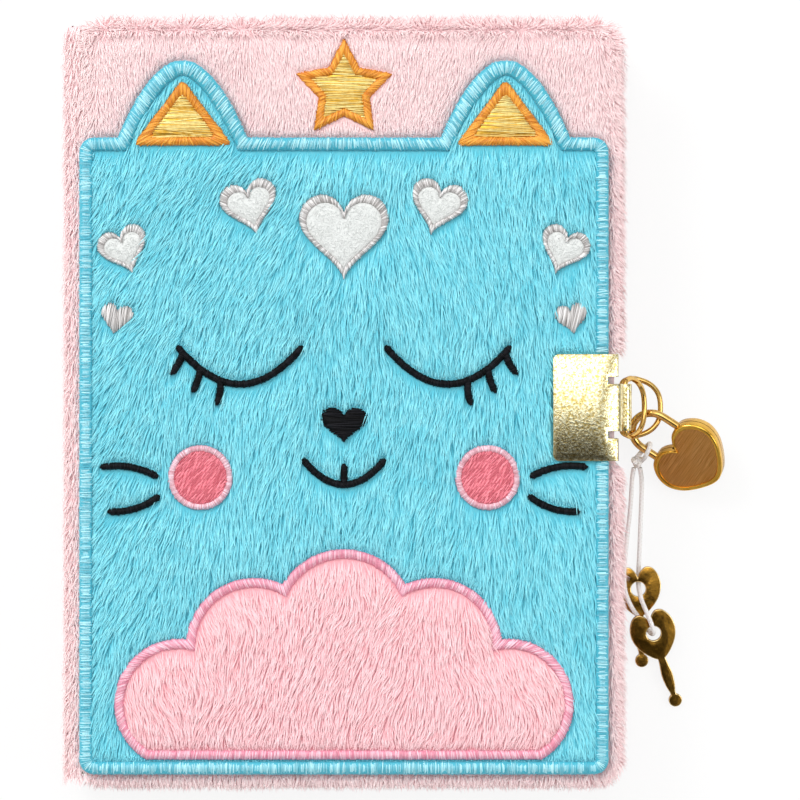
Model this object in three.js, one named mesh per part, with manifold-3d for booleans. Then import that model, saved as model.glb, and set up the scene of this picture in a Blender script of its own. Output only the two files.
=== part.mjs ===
// Plush diary with a heart padlock, lying on its back cover: millimetres, +Z up, +Y to the head of the cover.
// The spine is at -X and the lock at +X, and Z = 0 is the surface that the diary lies on.

import * as THREE from 'three';
import { mergeVertices } from 'three/addons/utils/BufferGeometryUtils.js';
import Module from 'manifold-3d';

const wasm = await Module();
wasm.setup();

// The gap that pieces keep where they touch.
const GAP = 0.3;

// Boards of the cover, an A5 diary's.
const BOARD = { left: -70, right: 74, halfHeight: 104, thick: 2.5 };
// Plush round the boards. The left edge ends at the cloth hinge.
const PLUSH = { left: -75, right: 75.6, halfHeight: 105.6, corner: 6, pile: 3.5, frontPile: 4 };
const PAPER = { left: -69, right: 71, halfHeight: 100, endpaper: 0.4, lower: 7.6, upper: 2.6, lining: 0.4 };
const PADDING_THICK = 2;
const SHEET = 0.7;

// The stack of the closed book, from the surface up.
const Z = {};
Z.backBoard = PLUSH.pile + GAP;
Z.backEndpaper = Z.backBoard + BOARD.thick + GAP;
Z.backLeaf = Z.backEndpaper + PAPER.endpaper + GAP;
Z.lowerPages = Z.backLeaf + SHEET + GAP;
Z.upperPages = Z.lowerPages + PAPER.lower + GAP;
Z.flyleaf = Z.upperPages + PAPER.upper + GAP;
Z.frontLeaf = Z.flyleaf + PAPER.endpaper + GAP;
Z.frontEndpaper = Z.frontLeaf + SHEET + GAP;
Z.frontBoard = Z.frontEndpaper + PAPER.endpaper + GAP;
Z.padding = Z.frontBoard + BOARD.thick + GAP;
Z.frontSkin = Z.padding + PADDING_THICK + GAP;
Z.frontTop = Z.frontSkin + PLUSH.frontPile;
// Pile flattened under the big patch, then under what is sewn on that patch.
Z.panel = Z.frontSkin + 1.8 + GAP;
Z.panelTop = Z.panel + 3.8;
Z.patch = Z.panelTop - 2;
Z.patchTop = Z.panelTop + 0.4;
Z.satinTop = Z.panelTop + 0.2;
Z.stitchTop = Z.panelTop;

// The cloth hinges run along the spine's edges at these heights.
const HINGE = { low: Z.backBoard - 0.2, high: Z.frontSkin - 0.2 };
const SPINE = { board: 2, inner: -72.9, halfHeight: BOARD.halfHeight, outer: -79 };

// The big patch with two ears, its satin edge and what is sewn on it.
const PANEL = { middle: -0.9, halfWidth: 73.7, top: 73.7, bottom: -103.7, corner: 4, satin: 3.6 };
const EAR = { apart: 45, halfWidth: 18, height: 21, tip: 3.2 };
const EAR_GOLD = { halfWidth: 14, height: 18.5, round: 2.2, satin: 2.4 };
const STAR = { y: (PANEL.top + PLUSH.halfHeight) / 2 - 2.4, radius: 14.2, waist: 0.53, satin: 2.2 };
const FELT_SATIN = 2;
const FOREHEAD_HEARTS = [
  { name: 'forehead_left', x: -26, y: 54, width: 16, turn: 14 },
  { name: 'forehead_middle', x: 0, y: 46, width: 25, turn: 0 },
  { name: 'forehead_right', x: 26, y: 54, width: 16, turn: -14 },
];
// The lower ones are stitched all over and have no felt.
const SIDE_HEARTS = [
  { name: 'upper', x: 61, y: 42, width: 14, turn: -20, satin: 1.7 },
  { name: 'lower', x: 63.5, y: 23, width: 9, turn: 10, satin: 0 },
];
const EYE = { apart: 29, y: 15, halfWidth: 17, drop: 10, line: 1.9, lash: 6 };
const NOSE = { y: -6.5, width: 13, height: 10 };
const MOUTH = { y: -16.5, halfWidth: 11, drop: 6.5, stem: 5, line: 1.8 };
const CHEEK = { apart: 40, y: -21, radius: 9, satin: 1.8 };
const WHISKERS = [
  { name: 'upper', from: [52.5, -20.5], to: [67, -18], bow: 1.2 },
  { name: 'lower', from: [52, -26.5], to: [65, -30.5], bow: -1.2 },
];
const CLOUD = {
  base: PANEL.bottom + PANEL.satin + 0.6,
  satin: 2.6,
  lobes: [
    { x: -46, y: -84, radius: 18 },
    { x: -25, y: -68, radius: 19 },
    { x: 0, y: -61, radius: 20 },
    { x: 25, y: -68, radius: 19 },
    { x: 46, y: -84, radius: 18 },
  ],
};

// Stamped clasp plates, one clamped on each cover's fore-edge, and the rings in their knuckles.
const CLASP = { left: 57.3, fold: 75.6, middle: -1.5, halfHeight: 14.9, corner: 1.8, tongue: 6.6, slot: 8.6, inner: 62 };
const KNUCKLE = { x: 78, radius: 1.75 };
const RING = { wire: 0.75, halfWidth: 8.3, depth: 10.8, corner: 1.2 };
const LEAF_TOP = Z.panelTop - 0.4;
const FRONT_RING = { z: Z.frontBoard + 0.8, droop: 57 };
const BACK_RING = { z: Z.backBoard + 4.5, droop: 2.5 };

// Heart padlock. Its own frame has +x to the tip of the heart, +y to the upper lobe and +z out of the face.
const LOCK = { x: 97.9, y: -15.8, z: 8.15, turn: -32.5, tilt: 28.5 };
const CASE = { width: 22, length: 18.5, half: 2.7, rim: 2, inlay: 0.5, bevel: 0.6 };
const SHACKLE = { wire: 1.1, legs: 5.9, bend: -13.5, long: 1.5, short: -3.5, bore: 1.45 };

// The notch near the end of the shackle's short leg, and the latch whose nose goes into it.
const NOTCH = { near: 0.9, far: 2.5, depth: 0.7 };
const LATCH = { half: 0.8, tail: 3.2, inner: -1, nose: 4.3, travel: 0.9 };

// Flat keys with heart bows, resting over one another on the cord.
const KEY = { thick: 1.2, bow: 13, hole: 2.1, length: 29, neck: 1.1, blade: 1.6, waist: 0.8, tip: 1.9 };
const REAR_KEY = { x: 82.8, y: -53.4, z: 2.15, turn: -87, dip: 3.4 };
const FRONT_KEY = { x: 87, y: -65.9, z: 4.9, turn: -71.5, dip: 9.6 };

// The cord: a small loop round the shackle's lower leg, a knot, and a long loop round both keys.
const CORD = { radius: 0.65, steps: 66, loopSteps: 16, knot: 1.7 };
const CORD_LOOP = { along: -12.2, reach: 2.1, spread: 0.85 };
const KNOT = [82.5, -17, 2.7];
// The long loop's route from the knot and back, chosen by hand.
const CORD_ROUTE = [
  [83.3, -18.8, 1.8],
  [83.8, -21.5, 0.85],
  [83.9, -25, 0.7],
  [83.6, -34, 0.7],
  [83.3, -42, 0.7],
  [83, -48, 0.7],
  [82.9, -51.1, 0.72],
  [82.95, -52.4, 1.3],
  [83, -53.5, 2.3],
  [83.2, -54.6, 3.3],
  [83.6, -56.4, 4.3],
  [84.5, -58.8, 6.2],
  [85.4, -61, 7.4],
  [86.4, -63.7, 7.5],
  [87, -65.7, 5.7],
  [86.5, -66.1, 3.9],
  [85.4, -64.9, 3.05],
  [83.4, -62.2, 3.2],
  [80.8, -58.5, 4],
  [79, -54, 4.15],
  [78.6, -49, 4.25],
  [78.8, -46, 3.7],
  [79.3, -42.5, 2],
  [79.8, -38, 0.8],
  [80.5, -32, 0.7],
  [81, -25, 0.7],
  [81.2, -21.5, 0.85],
  [81.6, -18.8, 1.8],
];

const TEXTILE = { roughness: 0.95, metalness: 0 };
const METAL = { roughness: 0.3, metalness: 1 };
const material = {
  pinkPlush: finish('#f7c3d2', TEXTILE),
  turquoisePlush: finish('#6fd6e6', TEXTILE),
  turquoiseSatin: finish('#3cb9cf', { roughness: 0.5, metalness: 0 }),
  pinkSatin: finish('#f2a6c4', { roughness: 0.5, metalness: 0 }),
  palePinkSatin: finish('#f6c6d2', { roughness: 0.5, metalness: 0 }),
  coralSatin: finish('#ef6f84', { roughness: 0.5, metalness: 0 }),
  orangeSatin: finish('#f3a63c', { roughness: 0.5, metalness: 0 }),
  silverSatin: finish('#b4b8bd', { roughness: 0.5, metalness: 0 }),
  blackSatin: finish('#17171a', { roughness: 0.5, metalness: 0 }),
  goldCloth: finish('#e9bf52', { roughness: 0.35, metalness: 0.8 }),
  felt: finish('#e2e6ea', TEXTILE),
  wadding: finish('#f6f4ee', TEXTILE),
  greyBoard: finish('#a39a8c', TEXTILE),
  paper: finish('#f7f4ec', { roughness: 0.9, metalness: 0 }),
  endpaper: finish('#f6cbd8', { roughness: 0.85, metalness: 0 }),
  lining: finish('#e6e0d2', TEXTILE),
  gold: finish('#e6c15a', METAL),
  bronzeGold: finish('#c39a4a', METAL),
  keyGold: finish('#a98238', { roughness: 0.4, metalness: 1 }),
  cord: finish('#f6f5f1', TEXTILE),
};

function finish(color, { roughness, metalness }) {
  return new THREE.MeshStandardMaterial({ color, roughness, metalness });
}

// Solids from closed geometries, and back.

function solidOf(geometry) {
  const bare = geometry.clone();
  bare.deleteAttribute('normal');
  bare.deleteAttribute('uv');
  const merged = mergeVertices(bare, 1e-4);
  const vertProperties = new Float32Array(merged.attributes.position.array);
  const triVerts = new Uint32Array(merged.index.array);
  return new wasm.Manifold(new wasm.Mesh({ numProp: 3, vertProperties, triVerts }));
}

function geometryOf(solid) {
  const { vertProperties, triVerts } = solid.getMesh();
  const geometry = new THREE.BufferGeometry();
  geometry.setAttribute('position', new THREE.BufferAttribute(vertProperties, 3));
  geometry.setIndex(new THREE.BufferAttribute(triVerts, 1));
  return geometry;
}

function joined(solids) {
  return solids.reduce((whole, solid) => whole.add(solid));
}

function cut(solid, tools) {
  return tools.reduce((rest, tool) => rest.subtract(tool), solid);
}

function piece(parent, name, solid, look) {
  const mesh = new THREE.Mesh(geometryOf(solid), look);
  mesh.name = name;
  parent.add(mesh);
}

// Outlines are lists of Vector2 that run counter-clockwise.

function rounded(left, right, low, high, radius) {
  const shape = new THREE.Shape();
  shape.absarc(right - radius, low + radius, radius, -Math.PI / 2, 0);
  shape.absarc(right - radius, high - radius, radius, 0, Math.PI / 2);
  shape.absarc(left + radius, high - radius, radius, Math.PI / 2, Math.PI);
  shape.absarc(left + radius, low + radius, radius, Math.PI, Math.PI * 1.5);
  return tidy(shape.getPoints(5));
}

// Drops points that repeat the one before them.
function tidy(points) {
  return points.filter((p, i) => p.distanceTo(points[(i + points.length - 1) % points.length]) > 1e-3);
}

// Moves an outline outward by a distance, with mitred corners.
function grown(points, distance) {
  const count = points.length;
  return points.map((point, i) => {
    const before = point.clone().sub(points[(i + count - 1) % count]).normalize();
    const after = points[(i + 1) % count].clone().sub(point).normalize();
    const normal = new THREE.Vector2(before.y + after.y, -before.x - after.x).normalize();
    const stretch = Math.max(0.35, normal.x * after.y - normal.y * after.x);
    return point.clone().addScaledVector(normal, distance / stretch);
  });
}

function placed(points, x, y, turn = 0) {
  const angle = THREE.MathUtils.degToRad(turn);
  const middle = new THREE.Vector2();
  return points.map((p) => p.clone().rotateAround(middle, angle).add(new THREE.Vector2(x, y)));
}

function mirrored(points) {
  return points.map((p) => new THREE.Vector2(2 * PANEL.middle - p.x, p.y)).reverse();
}

function circle(radius, count = 22) {
  return new THREE.EllipseCurve(0, 0, radius, radius).getPoints(count).slice(0, count);
}

// A heart with its tip at -y, from the usual formula, drawn smaller by an inset.
function heart(fullWidth, fullHeight, inset = 0, count = 22) {
  const width = fullWidth - 2 * inset;
  const height = fullHeight - 2.3 * inset;
  const points = [];
  for (let i = 0; i < count; i++) {
    const t = (2 * Math.PI * (i + 0.5)) / count;
    const x = -16 * Math.sin(t) ** 3;
    const y = 13 * Math.cos(t) - 5 * Math.cos(2 * t) - 2 * Math.cos(3 * t) - Math.cos(4 * t);
    points.push(new THREE.Vector2((x / 32) * width, ((y + 2.5) / 29) * height));
  }
  return points;
}

function star(radius, waist) {
  const points = [];
  for (let i = 0; i < 10; i++) {
    const angle = Math.PI / 2 + (i * Math.PI) / 5;
    const reach = i % 2 ? radius * waist : radius;
    points.push(new THREE.Vector2(reach * Math.cos(angle), reach * Math.sin(angle)));
  }
  return points;
}

// A stitched line: an even band along a curve, with half-round ends.
function band(curve, width, divisions) {
  const middle = curve.getSpacedPoints(divisions);
  const sides = [[], []];
  middle.forEach((point, i) => {
    const tangent = curve.getTangentAt(i / divisions);
    const across = new THREE.Vector2(tangent.y, -tangent.x).multiplyScalar(width / 2);
    sides[0].push(point.clone().add(across));
    sides[1].unshift(point.clone().sub(across));
  });
  const cap = (end, from) =>
    [45, 90, 135].map((turn) => {
      const angle = THREE.MathUtils.degToRad(turn);
      return from.clone().rotateAround(end, angle);
    });
  const last = middle[divisions];
  return [...sides[0], ...cap(last, sides[0][divisions]), ...sides[1], ...cap(middle[0], sides[1][divisions])];
}

function bowed(from, to, bow) {
  const start = new THREE.Vector2(...from);
  const end = new THREE.Vector2(...to);
  const lift = new THREE.Vector2(start.y - end.y, end.x - start.x).normalize().multiplyScalar(2 * bow);
  return new THREE.QuadraticBezierCurve(start, start.clone().lerp(end, 0.5).add(lift), end);
}

// A plate with this outline from one height to another.
function slab(outline, low, high, bevel = 0) {
  const geometry = new THREE.ExtrudeGeometry(new THREE.Shape(outline), {
    depth: high - low - 2 * bevel,
    bevelEnabled: bevel > 0,
    bevelThickness: bevel,
    bevelSize: bevel,
    bevelOffset: -bevel,
    bevelSegments: 2,
  });
  geometry.translate(0, 0, low + bevel);
  return solidOf(geometry);
}

// A solid through outlines of one shape, each at its own inset and height, from the lowest up.
function lofted(shape, levels) {
  const rings = levels.map(([inset, z]) => shape(inset).map((p) => new THREE.Vector3(p.x, p.y, z)));
  const count = rings[0].length;
  const faces = THREE.ShapeUtils.triangulateShape(shape(levels[0][0]), []);
  const top = (levels.length - 1) * count;
  const index = [];
  for (const [a, b, c] of faces) {
    index.push(a, c, b, top + a, top + b, top + c);
  }
  for (let level = 0; level < top; level += count) {
    for (let i = 0; i < count; i++) {
      const a = level + i;
      const b = level + ((i + 1) % count);
      index.push(a, b, b + count, a, b + count, a + count);
    }
  }
  const geometry = new THREE.BufferGeometry().setFromPoints(rings.flat());
  geometry.setIndex(index);
  return solidOf(geometry);
}

function ring(shape, width, low, high) {
  return slab(shape(0), low, high).subtract(slab(shape(width), low - 1, high + 1));
}

function box(x0, x1, y0, y1, z0, z1) {
  const geometry = new THREE.BoxGeometry(x1 - x0, y1 - y0, z1 - z0);
  geometry.translate((x0 + x1) / 2, (y0 + y1) / 2, (z0 + z1) / 2);
  return solidOf(geometry);
}

// A section in x and z, drawn out along Y.
function drawnOut(points, y0, y1) {
  const geometry = new THREE.ExtrudeGeometry(new THREE.Shape(points), { depth: y1 - y0, bevelEnabled: false });
  geometry.rotateX(Math.PI / 2);
  geometry.translate(0, y1, 0);
  return solidOf(geometry);
}

function wire(curve, radius, steps, sides = 8) {
  const section = new THREE.Shape(circle(radius, sides));
  return solidOf(new THREE.ExtrudeGeometry(section, { steps, bevelEnabled: false, extrudePath: curve }));
}

// Outlines of the big patch and what lies on it.

function panelOutline(inset) {
  const { middle } = PANEL;
  const left = middle - PANEL.halfWidth + inset;
  const right = middle + PANEL.halfWidth - inset;
  const top = PANEL.top - inset;
  const bottom = PANEL.bottom + inset;
  const corner = Math.max(0.5, PANEL.corner - inset);
  const foot = EAR.halfWidth - 0.67 * inset;
  const bulge = EAR.halfWidth * 0.62 - inset;
  const shoulder = top + EAR.height * 0.8 + 0.2 * inset;
  const peak = PANEL.top + EAR.height - 1.1 * inset;
  const tip = Math.max(1, EAR.tip - 0.5 * inset);
  const shape = new THREE.Shape();
  shape.absarc(right - corner, bottom + corner, corner, -Math.PI / 2, 0);
  shape.absarc(right - corner, top - corner, corner, 0, Math.PI / 2);
  for (const x of [middle + EAR.apart, middle - EAR.apart]) {
    shape.lineTo(x + foot, top);
    shape.quadraticCurveTo(x + bulge, shoulder, x + tip, peak);
    shape.quadraticCurveTo(x, peak + 0.9, x - tip, peak);
    shape.quadraticCurveTo(x - bulge, shoulder, x - foot, top);
  }
  shape.absarc(left + corner, top - corner, corner, Math.PI / 2, Math.PI);
  shape.absarc(left + corner, bottom + corner, corner, Math.PI, Math.PI * 1.5);
  return tidy(shape.getPoints(5));
}

function earGoldOutline(inset) {
  const { halfWidth, height, round } = EAR_GOLD;
  const sharp = [[-halfWidth, 0], [halfWidth, 0], [0, height]].map(([x, y]) => new THREE.Vector2(x, y));
  return softened(grown(sharp, -inset), round);
}

// Rounds each sharp corner of an outline over this length of its sides.
function softened(corners, reach) {
  const count = corners.length;
  const shape = new THREE.Shape();
  corners.forEach((corner, i) => {
    const towards = (other) => corner.clone().add(other.clone().sub(corner).setLength(reach));
    const start = towards(corners[(i + count - 1) % count]);
    const end = towards(corners[(i + 1) % count]);
    if (i) {
      shape.lineTo(start.x, start.y);
    } else {
      shape.moveTo(start.x, start.y);
    }
    shape.quadraticCurveTo(corner.x, corner.y, end.x, end.y);
  });
  return tidy(shape.getPoints(4));
}

// The angle, seen from one lobe, at which it meets the next.
function meeting(lobe, next, side) {
  const apart = Math.hypot(next.x - lobe.x, next.y - lobe.y);
  const along = (apart ** 2 + lobe.radius ** 2 - next.radius ** 2) / (2 * apart);
  return Math.atan2(next.y - lobe.y, next.x - lobe.x) + side * Math.acos(along / lobe.radius);
}

function cloudOutline(inset) {
  const lobes = CLOUD.lobes.map((lobe) => ({ ...lobe, radius: lobe.radius - inset })).reverse();
  const shape = new THREE.Shape();
  lobes.forEach((lobe, i) => {
    const foot = Math.asin((CLOUD.base + inset - lobe.y) / lobe.radius);
    const start = i ? meeting(lobe, lobes[i - 1], 1) : foot;
    const end = i < lobes.length - 1 ? meeting(lobe, lobes[i + 1], -1) : Math.PI - foot;
    const from = start > end ? start - 2 * Math.PI : start;
    const to = end < from ? end + 2 * Math.PI : end;
    shape.absarc(lobe.x + PANEL.middle, lobe.y, lobe.radius, from, to);
  });
  return tidy(shape.getPoints(7));
}

// Each thing sewn on: its outline at an inset, the width of its satin edge, and its two cloths.
function sewnOn() {
  const list = [];
  const felt = ['felt', 'silverSatin'];
  for (const [side, sign] of [['left', -1], ['right', 1]]) {
    const ear = (inset) => placed(earGoldOutline(inset), PANEL.middle + sign * EAR.apart, PANEL.top - 2.2);
    list.push({ name: `${side}_ear`, shape: ear, satin: EAR_GOLD.satin, cloths: ['goldCloth', 'orangeSatin'] });
    const cheek = (inset) => placed(circle(CHEEK.radius - inset), PANEL.middle + sign * CHEEK.apart, CHEEK.y);
    list.push({ name: `${side}_cheek`, shape: cheek, satin: CHEEK.satin, cloths: ['coralSatin', 'palePinkSatin'] });
  }
  const feltHeart = ({ x, y, width, turn }) => (inset) =>
    placed(heart(width, width * 0.95, inset), PANEL.middle + x, y, turn);
  for (const mark of FOREHEAD_HEARTS) {
    list.push({ name: `${mark.name}_heart`, shape: feltHeart(mark), satin: FELT_SATIN, cloths: felt });
  }
  for (const mark of SIDE_HEARTS) {
    const right = feltHeart(mark);
    const left = (inset) => mirrored(right(inset));
    list.push({ name: `right_${mark.name}_heart`, shape: right, satin: mark.satin, cloths: felt });
    list.push({ name: `left_${mark.name}_heart`, shape: left, satin: mark.satin, cloths: felt });
  }
  list.push({ name: 'cloud', shape: cloudOutline, satin: CLOUD.satin, cloths: ['pinkPlush', 'pinkSatin'] });
  return list;
}

// Black stitched lines of the sleeping face.

function eyeSolid(grow) {
  const { halfWidth, drop, line, lash } = EYE;
  const lid = bowed([-halfWidth, 0], [halfWidth, 0], -drop);
  const bands = [slab(grown(band(lid, line, 12), grow), Z.patch - grow, Z.stitchTop + 4 * grow)];
  for (const [at, lean] of [[0.04, 28], [0.2, 16], [0.36, 6]]) {
    const root = lid.getPointAt(at);
    const angle = THREE.MathUtils.degToRad(-90 - lean);
    const end = [root.x + lash * Math.cos(angle), root.y + lash * Math.sin(angle)];
    const hair = bowed([root.x, root.y], end, 0.4);
    bands.push(slab(grown(band(hair, line, 2), grow), Z.patch - grow, Z.stitchTop + 4 * grow));
  }
  return joined(bands);
}

function mouthSolid(grow) {
  const { halfWidth, drop, stem, line, y } = MOUTH;
  const smile = bowed([-halfWidth, y], [halfWidth, y], -drop);
  const top = smile.getPointAt(0.5).y;
  const upright = bowed([0, top], [0, top + stem], 0);
  return joined(
    [smile, upright].map((curve) => slab(grown(band(curve, line, 9), grow), Z.patch - grow, Z.stitchTop + 4 * grow)),
  ).translate([PANEL.middle, 0, 0]);
}

function whiskerSolid({ from, to, bow }, grow) {
  const outline = placed(grown(band(bowed(from, to, bow), EYE.line, 5), grow), PANEL.middle, 0);
  return slab(outline, Z.patch - grow, Z.stitchTop + 4 * grow);
}

function noseSolid(grow) {
  const outline = placed(heart(NOSE.width, NOSE.height), PANEL.middle, NOSE.y);
  return slab(grown(outline, grow), Z.patch - grow, Z.stitchTop + 4 * grow);
}

function flipped(solid) {
  return solid.mirror([1, 0, 0]).translate([2 * PANEL.middle, 0, 0]);
}

// Every stitched feature as a function of how far it is grown: 0 for the piece, more for its pocket.
function stitches() {
  const leftEye = (grow) => eyeSolid(grow).translate([PANEL.middle - EYE.apart, EYE.y, 0]);
  const list = [
    { name: 'left_eye', make: leftEye },
    { name: 'right_eye', make: (grow) => flipped(leftEye(grow)) },
    { name: 'nose', make: noseSolid },
    { name: 'mouth', make: mouthSolid },
  ];
  for (const whisker of WHISKERS) {
    list.push({ name: `right_${whisker.name}_whisker`, make: (grow) => whiskerSolid(whisker, grow) });
    list.push({ name: `left_${whisker.name}_whisker`, make: (grow) => flipped(whiskerSolid(whisker, grow)) });
  }
  return list;
}

// Room round a clasp plate: over its leaf, and right through the plush at the fold.
function claspRoom(outerFace, towards) {
  const { left, middle, halfHeight } = CLASP;
  const low = middle - halfHeight - GAP;
  const high = middle + halfHeight + GAP;
  const [z0, z1] = towards > 0 ? [outerFace, outerFace + 9] : [outerFace - 9, outerFace];
  return [box(left - GAP, 90, low, high, z0, z1), box(BOARD.right - 0.3, 90, low - 1, high + 1, -20, 60)];
}

const frontClaspRoom = () => claspRoom(LEAF_TOP - SHEET - GAP, 1);
const backClaspRoom = () => claspRoom(SHEET + GAP, -1);

// Back cover and spine.

function backCover(group) {
  const outline = rounded(PLUSH.left, PLUSH.right, -PLUSH.halfHeight, PLUSH.halfHeight, PLUSH.corner);
  const lip = Z.backEndpaper + 1;
  const pocket = [
    box(BOARD.left - GAP - 20, BOARD.right + GAP, -BOARD.halfHeight - GAP, BOARD.halfHeight + GAP, PLUSH.pile, 20),
    box(-90, BOARD.left - 1.5, -120, 120, PLUSH.pile, 20),
  ];
  piece(group, 'back_plush', cut(slab(outline, 0, lip, 1.2), [...pocket, ...backClaspRoom()]), material.pinkPlush);
  piece(group, 'back_board', board(Z.backBoard, BOARD.thick), material.greyBoard);
  piece(group, 'back_endpaper', board(Z.backEndpaper, PAPER.endpaper, 3), material.endpaper);
}

// A sheet or board of the cover's size, less an inset all round.
function board(low, thick, inset = 0) {
  const { left, right, halfHeight } = BOARD;
  return box(left + inset / 2, right - inset, inset - halfHeight, halfHeight - inset, low, low + thick);
}

function spine(group) {
  const { board: thick, inner, halfHeight, outer } = SPINE;
  const low = HINGE.low + GAP;
  const high = HINGE.high - GAP;
  const half = PLUSH.halfHeight;
  const section = rounded(outer, inner - thick - GAP, low, high, 1.7);
  piece(group, 'spine_plush', drawnOut(section, -half, half), material.pinkPlush);
  const strip = box(inner - thick, inner, -halfHeight, halfHeight, low + GAP, high - GAP);
  piece(group, 'spine_board', strip, material.greyBoard);
}

// Pages.

function pages(group) {
  const { left, right, halfHeight, lower, upper, endpaper, lining } = PAPER;
  const leaves = (x, low, thick) => box(x, right, -halfHeight, halfHeight, low, low + thick);
  piece(group, 'lower_pages', leaves(left, Z.lowerPages, lower), material.paper);
  piece(group, 'upper_pages', leaves(left, Z.upperPages, upper), material.paper);
  piece(group, 'flyleaf', leaves(left + 1.5, Z.flyleaf, endpaper), material.endpaper);
  const glued = left - GAP;
  const strip = box(glued - lining, glued, 4 - halfHeight, halfHeight - 4, Z.lowerPages, Z.upperPages - GAP);
  piece(group, 'spine_lining', strip, material.lining);
}

// Front cover with everything sewn on it.

function frontCover(group) {
  piece(group, 'front_endpaper', board(Z.frontEndpaper, PAPER.endpaper, 3), material.endpaper);
  piece(group, 'front_board', board(Z.frontBoard, BOARD.thick), material.greyBoard);
  piece(group, 'front_padding', board(Z.padding, PADDING_THICK, 1), material.wadding);
  const outline = rounded(PLUSH.left, PLUSH.right, -PLUSH.halfHeight, PLUSH.halfHeight, PLUSH.corner);
  const starShape = (inset) => placed(grown(star(STAR.radius, STAR.waist), -inset), PANEL.middle, STAR.y);
  const floor = Z.panel - GAP;
  const pockets = [
    box(-90, BOARD.right + GAP, -BOARD.halfHeight - GAP, BOARD.halfHeight + GAP, 0, Z.frontSkin),
    box(-90, BOARD.left - 1.5, -120, 120, 0, Z.frontSkin),
    slab(panelOutline(-GAP), floor, 60),
    box(-90, PANEL.middle - PANEL.halfWidth + 4, PANEL.bottom, PANEL.top, floor, 60),
    slab(starShape(-GAP), floor, 60),
    ...frontClaspRoom(),
  ];
  const lip = Z.frontEndpaper - GAP;
  piece(group, 'front_plush', cut(slab(outline, lip, Z.frontTop, 1.2), pockets), material.pinkPlush);
  patch(group, 'star', starShape, STAR.satin, Z.panel, ['goldCloth', 'orangeSatin']);
  bigPatch(group);
  for (const { name, shape, satin, cloths } of sewnOn()) {
    patch(group, name, shape, satin, Z.patch, cloths);
  }
  for (const { name, make } of stitches()) {
    piece(group, name, make(0), material.blackSatin);
  }
}

// A fill inside a satin-stitched edge, or satin stitch all over.
function patch(group, name, shape, satin, low, [fill, edge]) {
  if (!satin) {
    piece(group, name, slab(shape(0), low, Z.satinTop), material[edge]);
    return;
  }
  piece(group, `${name}_fill`, slab(shape(satin + GAP), low, Z.patchTop), material[fill]);
  piece(group, `${name}_edge`, ring(shape, satin, low, Z.satinTop), material[edge]);
}

function bigPatch(group) {
  const pockets = sewnOn().map(({ shape }) => slab(shape(-GAP), Z.patch - GAP, 60));
  pockets.push(...stitches().map(({ make }) => make(GAP)));
  pockets.push(...frontClaspRoom());
  const plush = slab(panelOutline(PANEL.satin + GAP), Z.panel, Z.panelTop);
  piece(group, 'panel_plush', cut(plush, pockets), material.turquoisePlush);
  const edge = ring(panelOutline, PANEL.satin, Z.panel, Z.satinTop);
  piece(group, 'panel_edge', cut(edge, pockets), material.turquoiseSatin);
}

// Clasp plates and rings.

// The plate's section at the two outer strips: over the board's edge and back along its inside.
function claspSection(outer, inner) {
  const up = Math.sign(outer - inner);
  const { fold, inner: innerEnd, left } = CLASP;
  const points = [
    [left + 4, outer],
    [fold - 1, outer],
    [fold - 0.3, outer - 0.3 * up],
    [fold, outer - up],
    [fold, inner + 0.7 * up],
    [fold - 0.7, inner],
    [innerEnd, inner],
    [innerEnd, inner + SHEET * up],
    [fold - SHEET - 0.2, inner + SHEET * up],
    [fold - SHEET, inner + (SHEET + 0.2) * up],
    [fold - SHEET, outer - (SHEET + 0.2) * up],
    [fold - SHEET - 0.2, outer - SHEET * up],
    [left + 4, outer - SHEET * up],
  ].map(([x, z]) => new THREE.Vector2(x, z));
  return up > 0 ? points.reverse() : points;
}

// The middle tongue: down from the leaf, then rolled round the ring's bar.
function tongueSection(outer, knuckleZ) {
  const up = Math.sign(outer - knuckleZ);
  const { fold, left } = CLASP;
  const { x, radius } = KNUCKLE;
  const turns = [180, 150, 120, 90, 60, 30, 0, -30, -60, -90, -120];
  const roll = (reach) =>
    turns.map((turn) => {
      const angle = THREE.MathUtils.degToRad(turn);
      return [x + reach * Math.cos(angle), knuckleZ - reach * Math.sin(angle) * up];
    });
  const points = [
    [left + 4, outer],
    [fold - 1, outer],
    [fold + 0.3, outer - 0.4 * up],
    [x - radius + SHEET, outer - 2 * up],
    ...roll(radius - SHEET),
    ...roll(radius).reverse(),
    [x - radius, outer - 2.2 * up],
    [fold - 0.6, outer - SHEET * up],
    [left + 4, outer - SHEET * up],
  ].map(([px, z]) => new THREE.Vector2(px, z));
  return up > 0 ? points : points.reverse();
}

function claspPlate(outer, inner, knuckleZ) {
  const { left, fold, middle, halfHeight, corner, tongue, slot } = CLASP;
  const low = Math.min(outer, outer + Math.sign(inner - outer) * SHEET);
  const leafEnd = fold - 3;
  const leaf = slab(rounded(left, leafEnd, middle - halfHeight, middle + halfHeight, corner), low, low + SHEET);
  const square = box(left + 5, leafEnd, middle - halfHeight, middle + halfHeight, low, low + SHEET);
  const strip = claspSection(outer, inner);
  return joined([
    leaf,
    square,
    drawnOut(strip, middle + slot, middle + halfHeight),
    drawnOut(strip, middle - halfHeight, middle - slot),
    drawnOut(tongueSection(outer, knuckleZ), middle - tongue, middle + tongue),
  ]);
}

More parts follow.
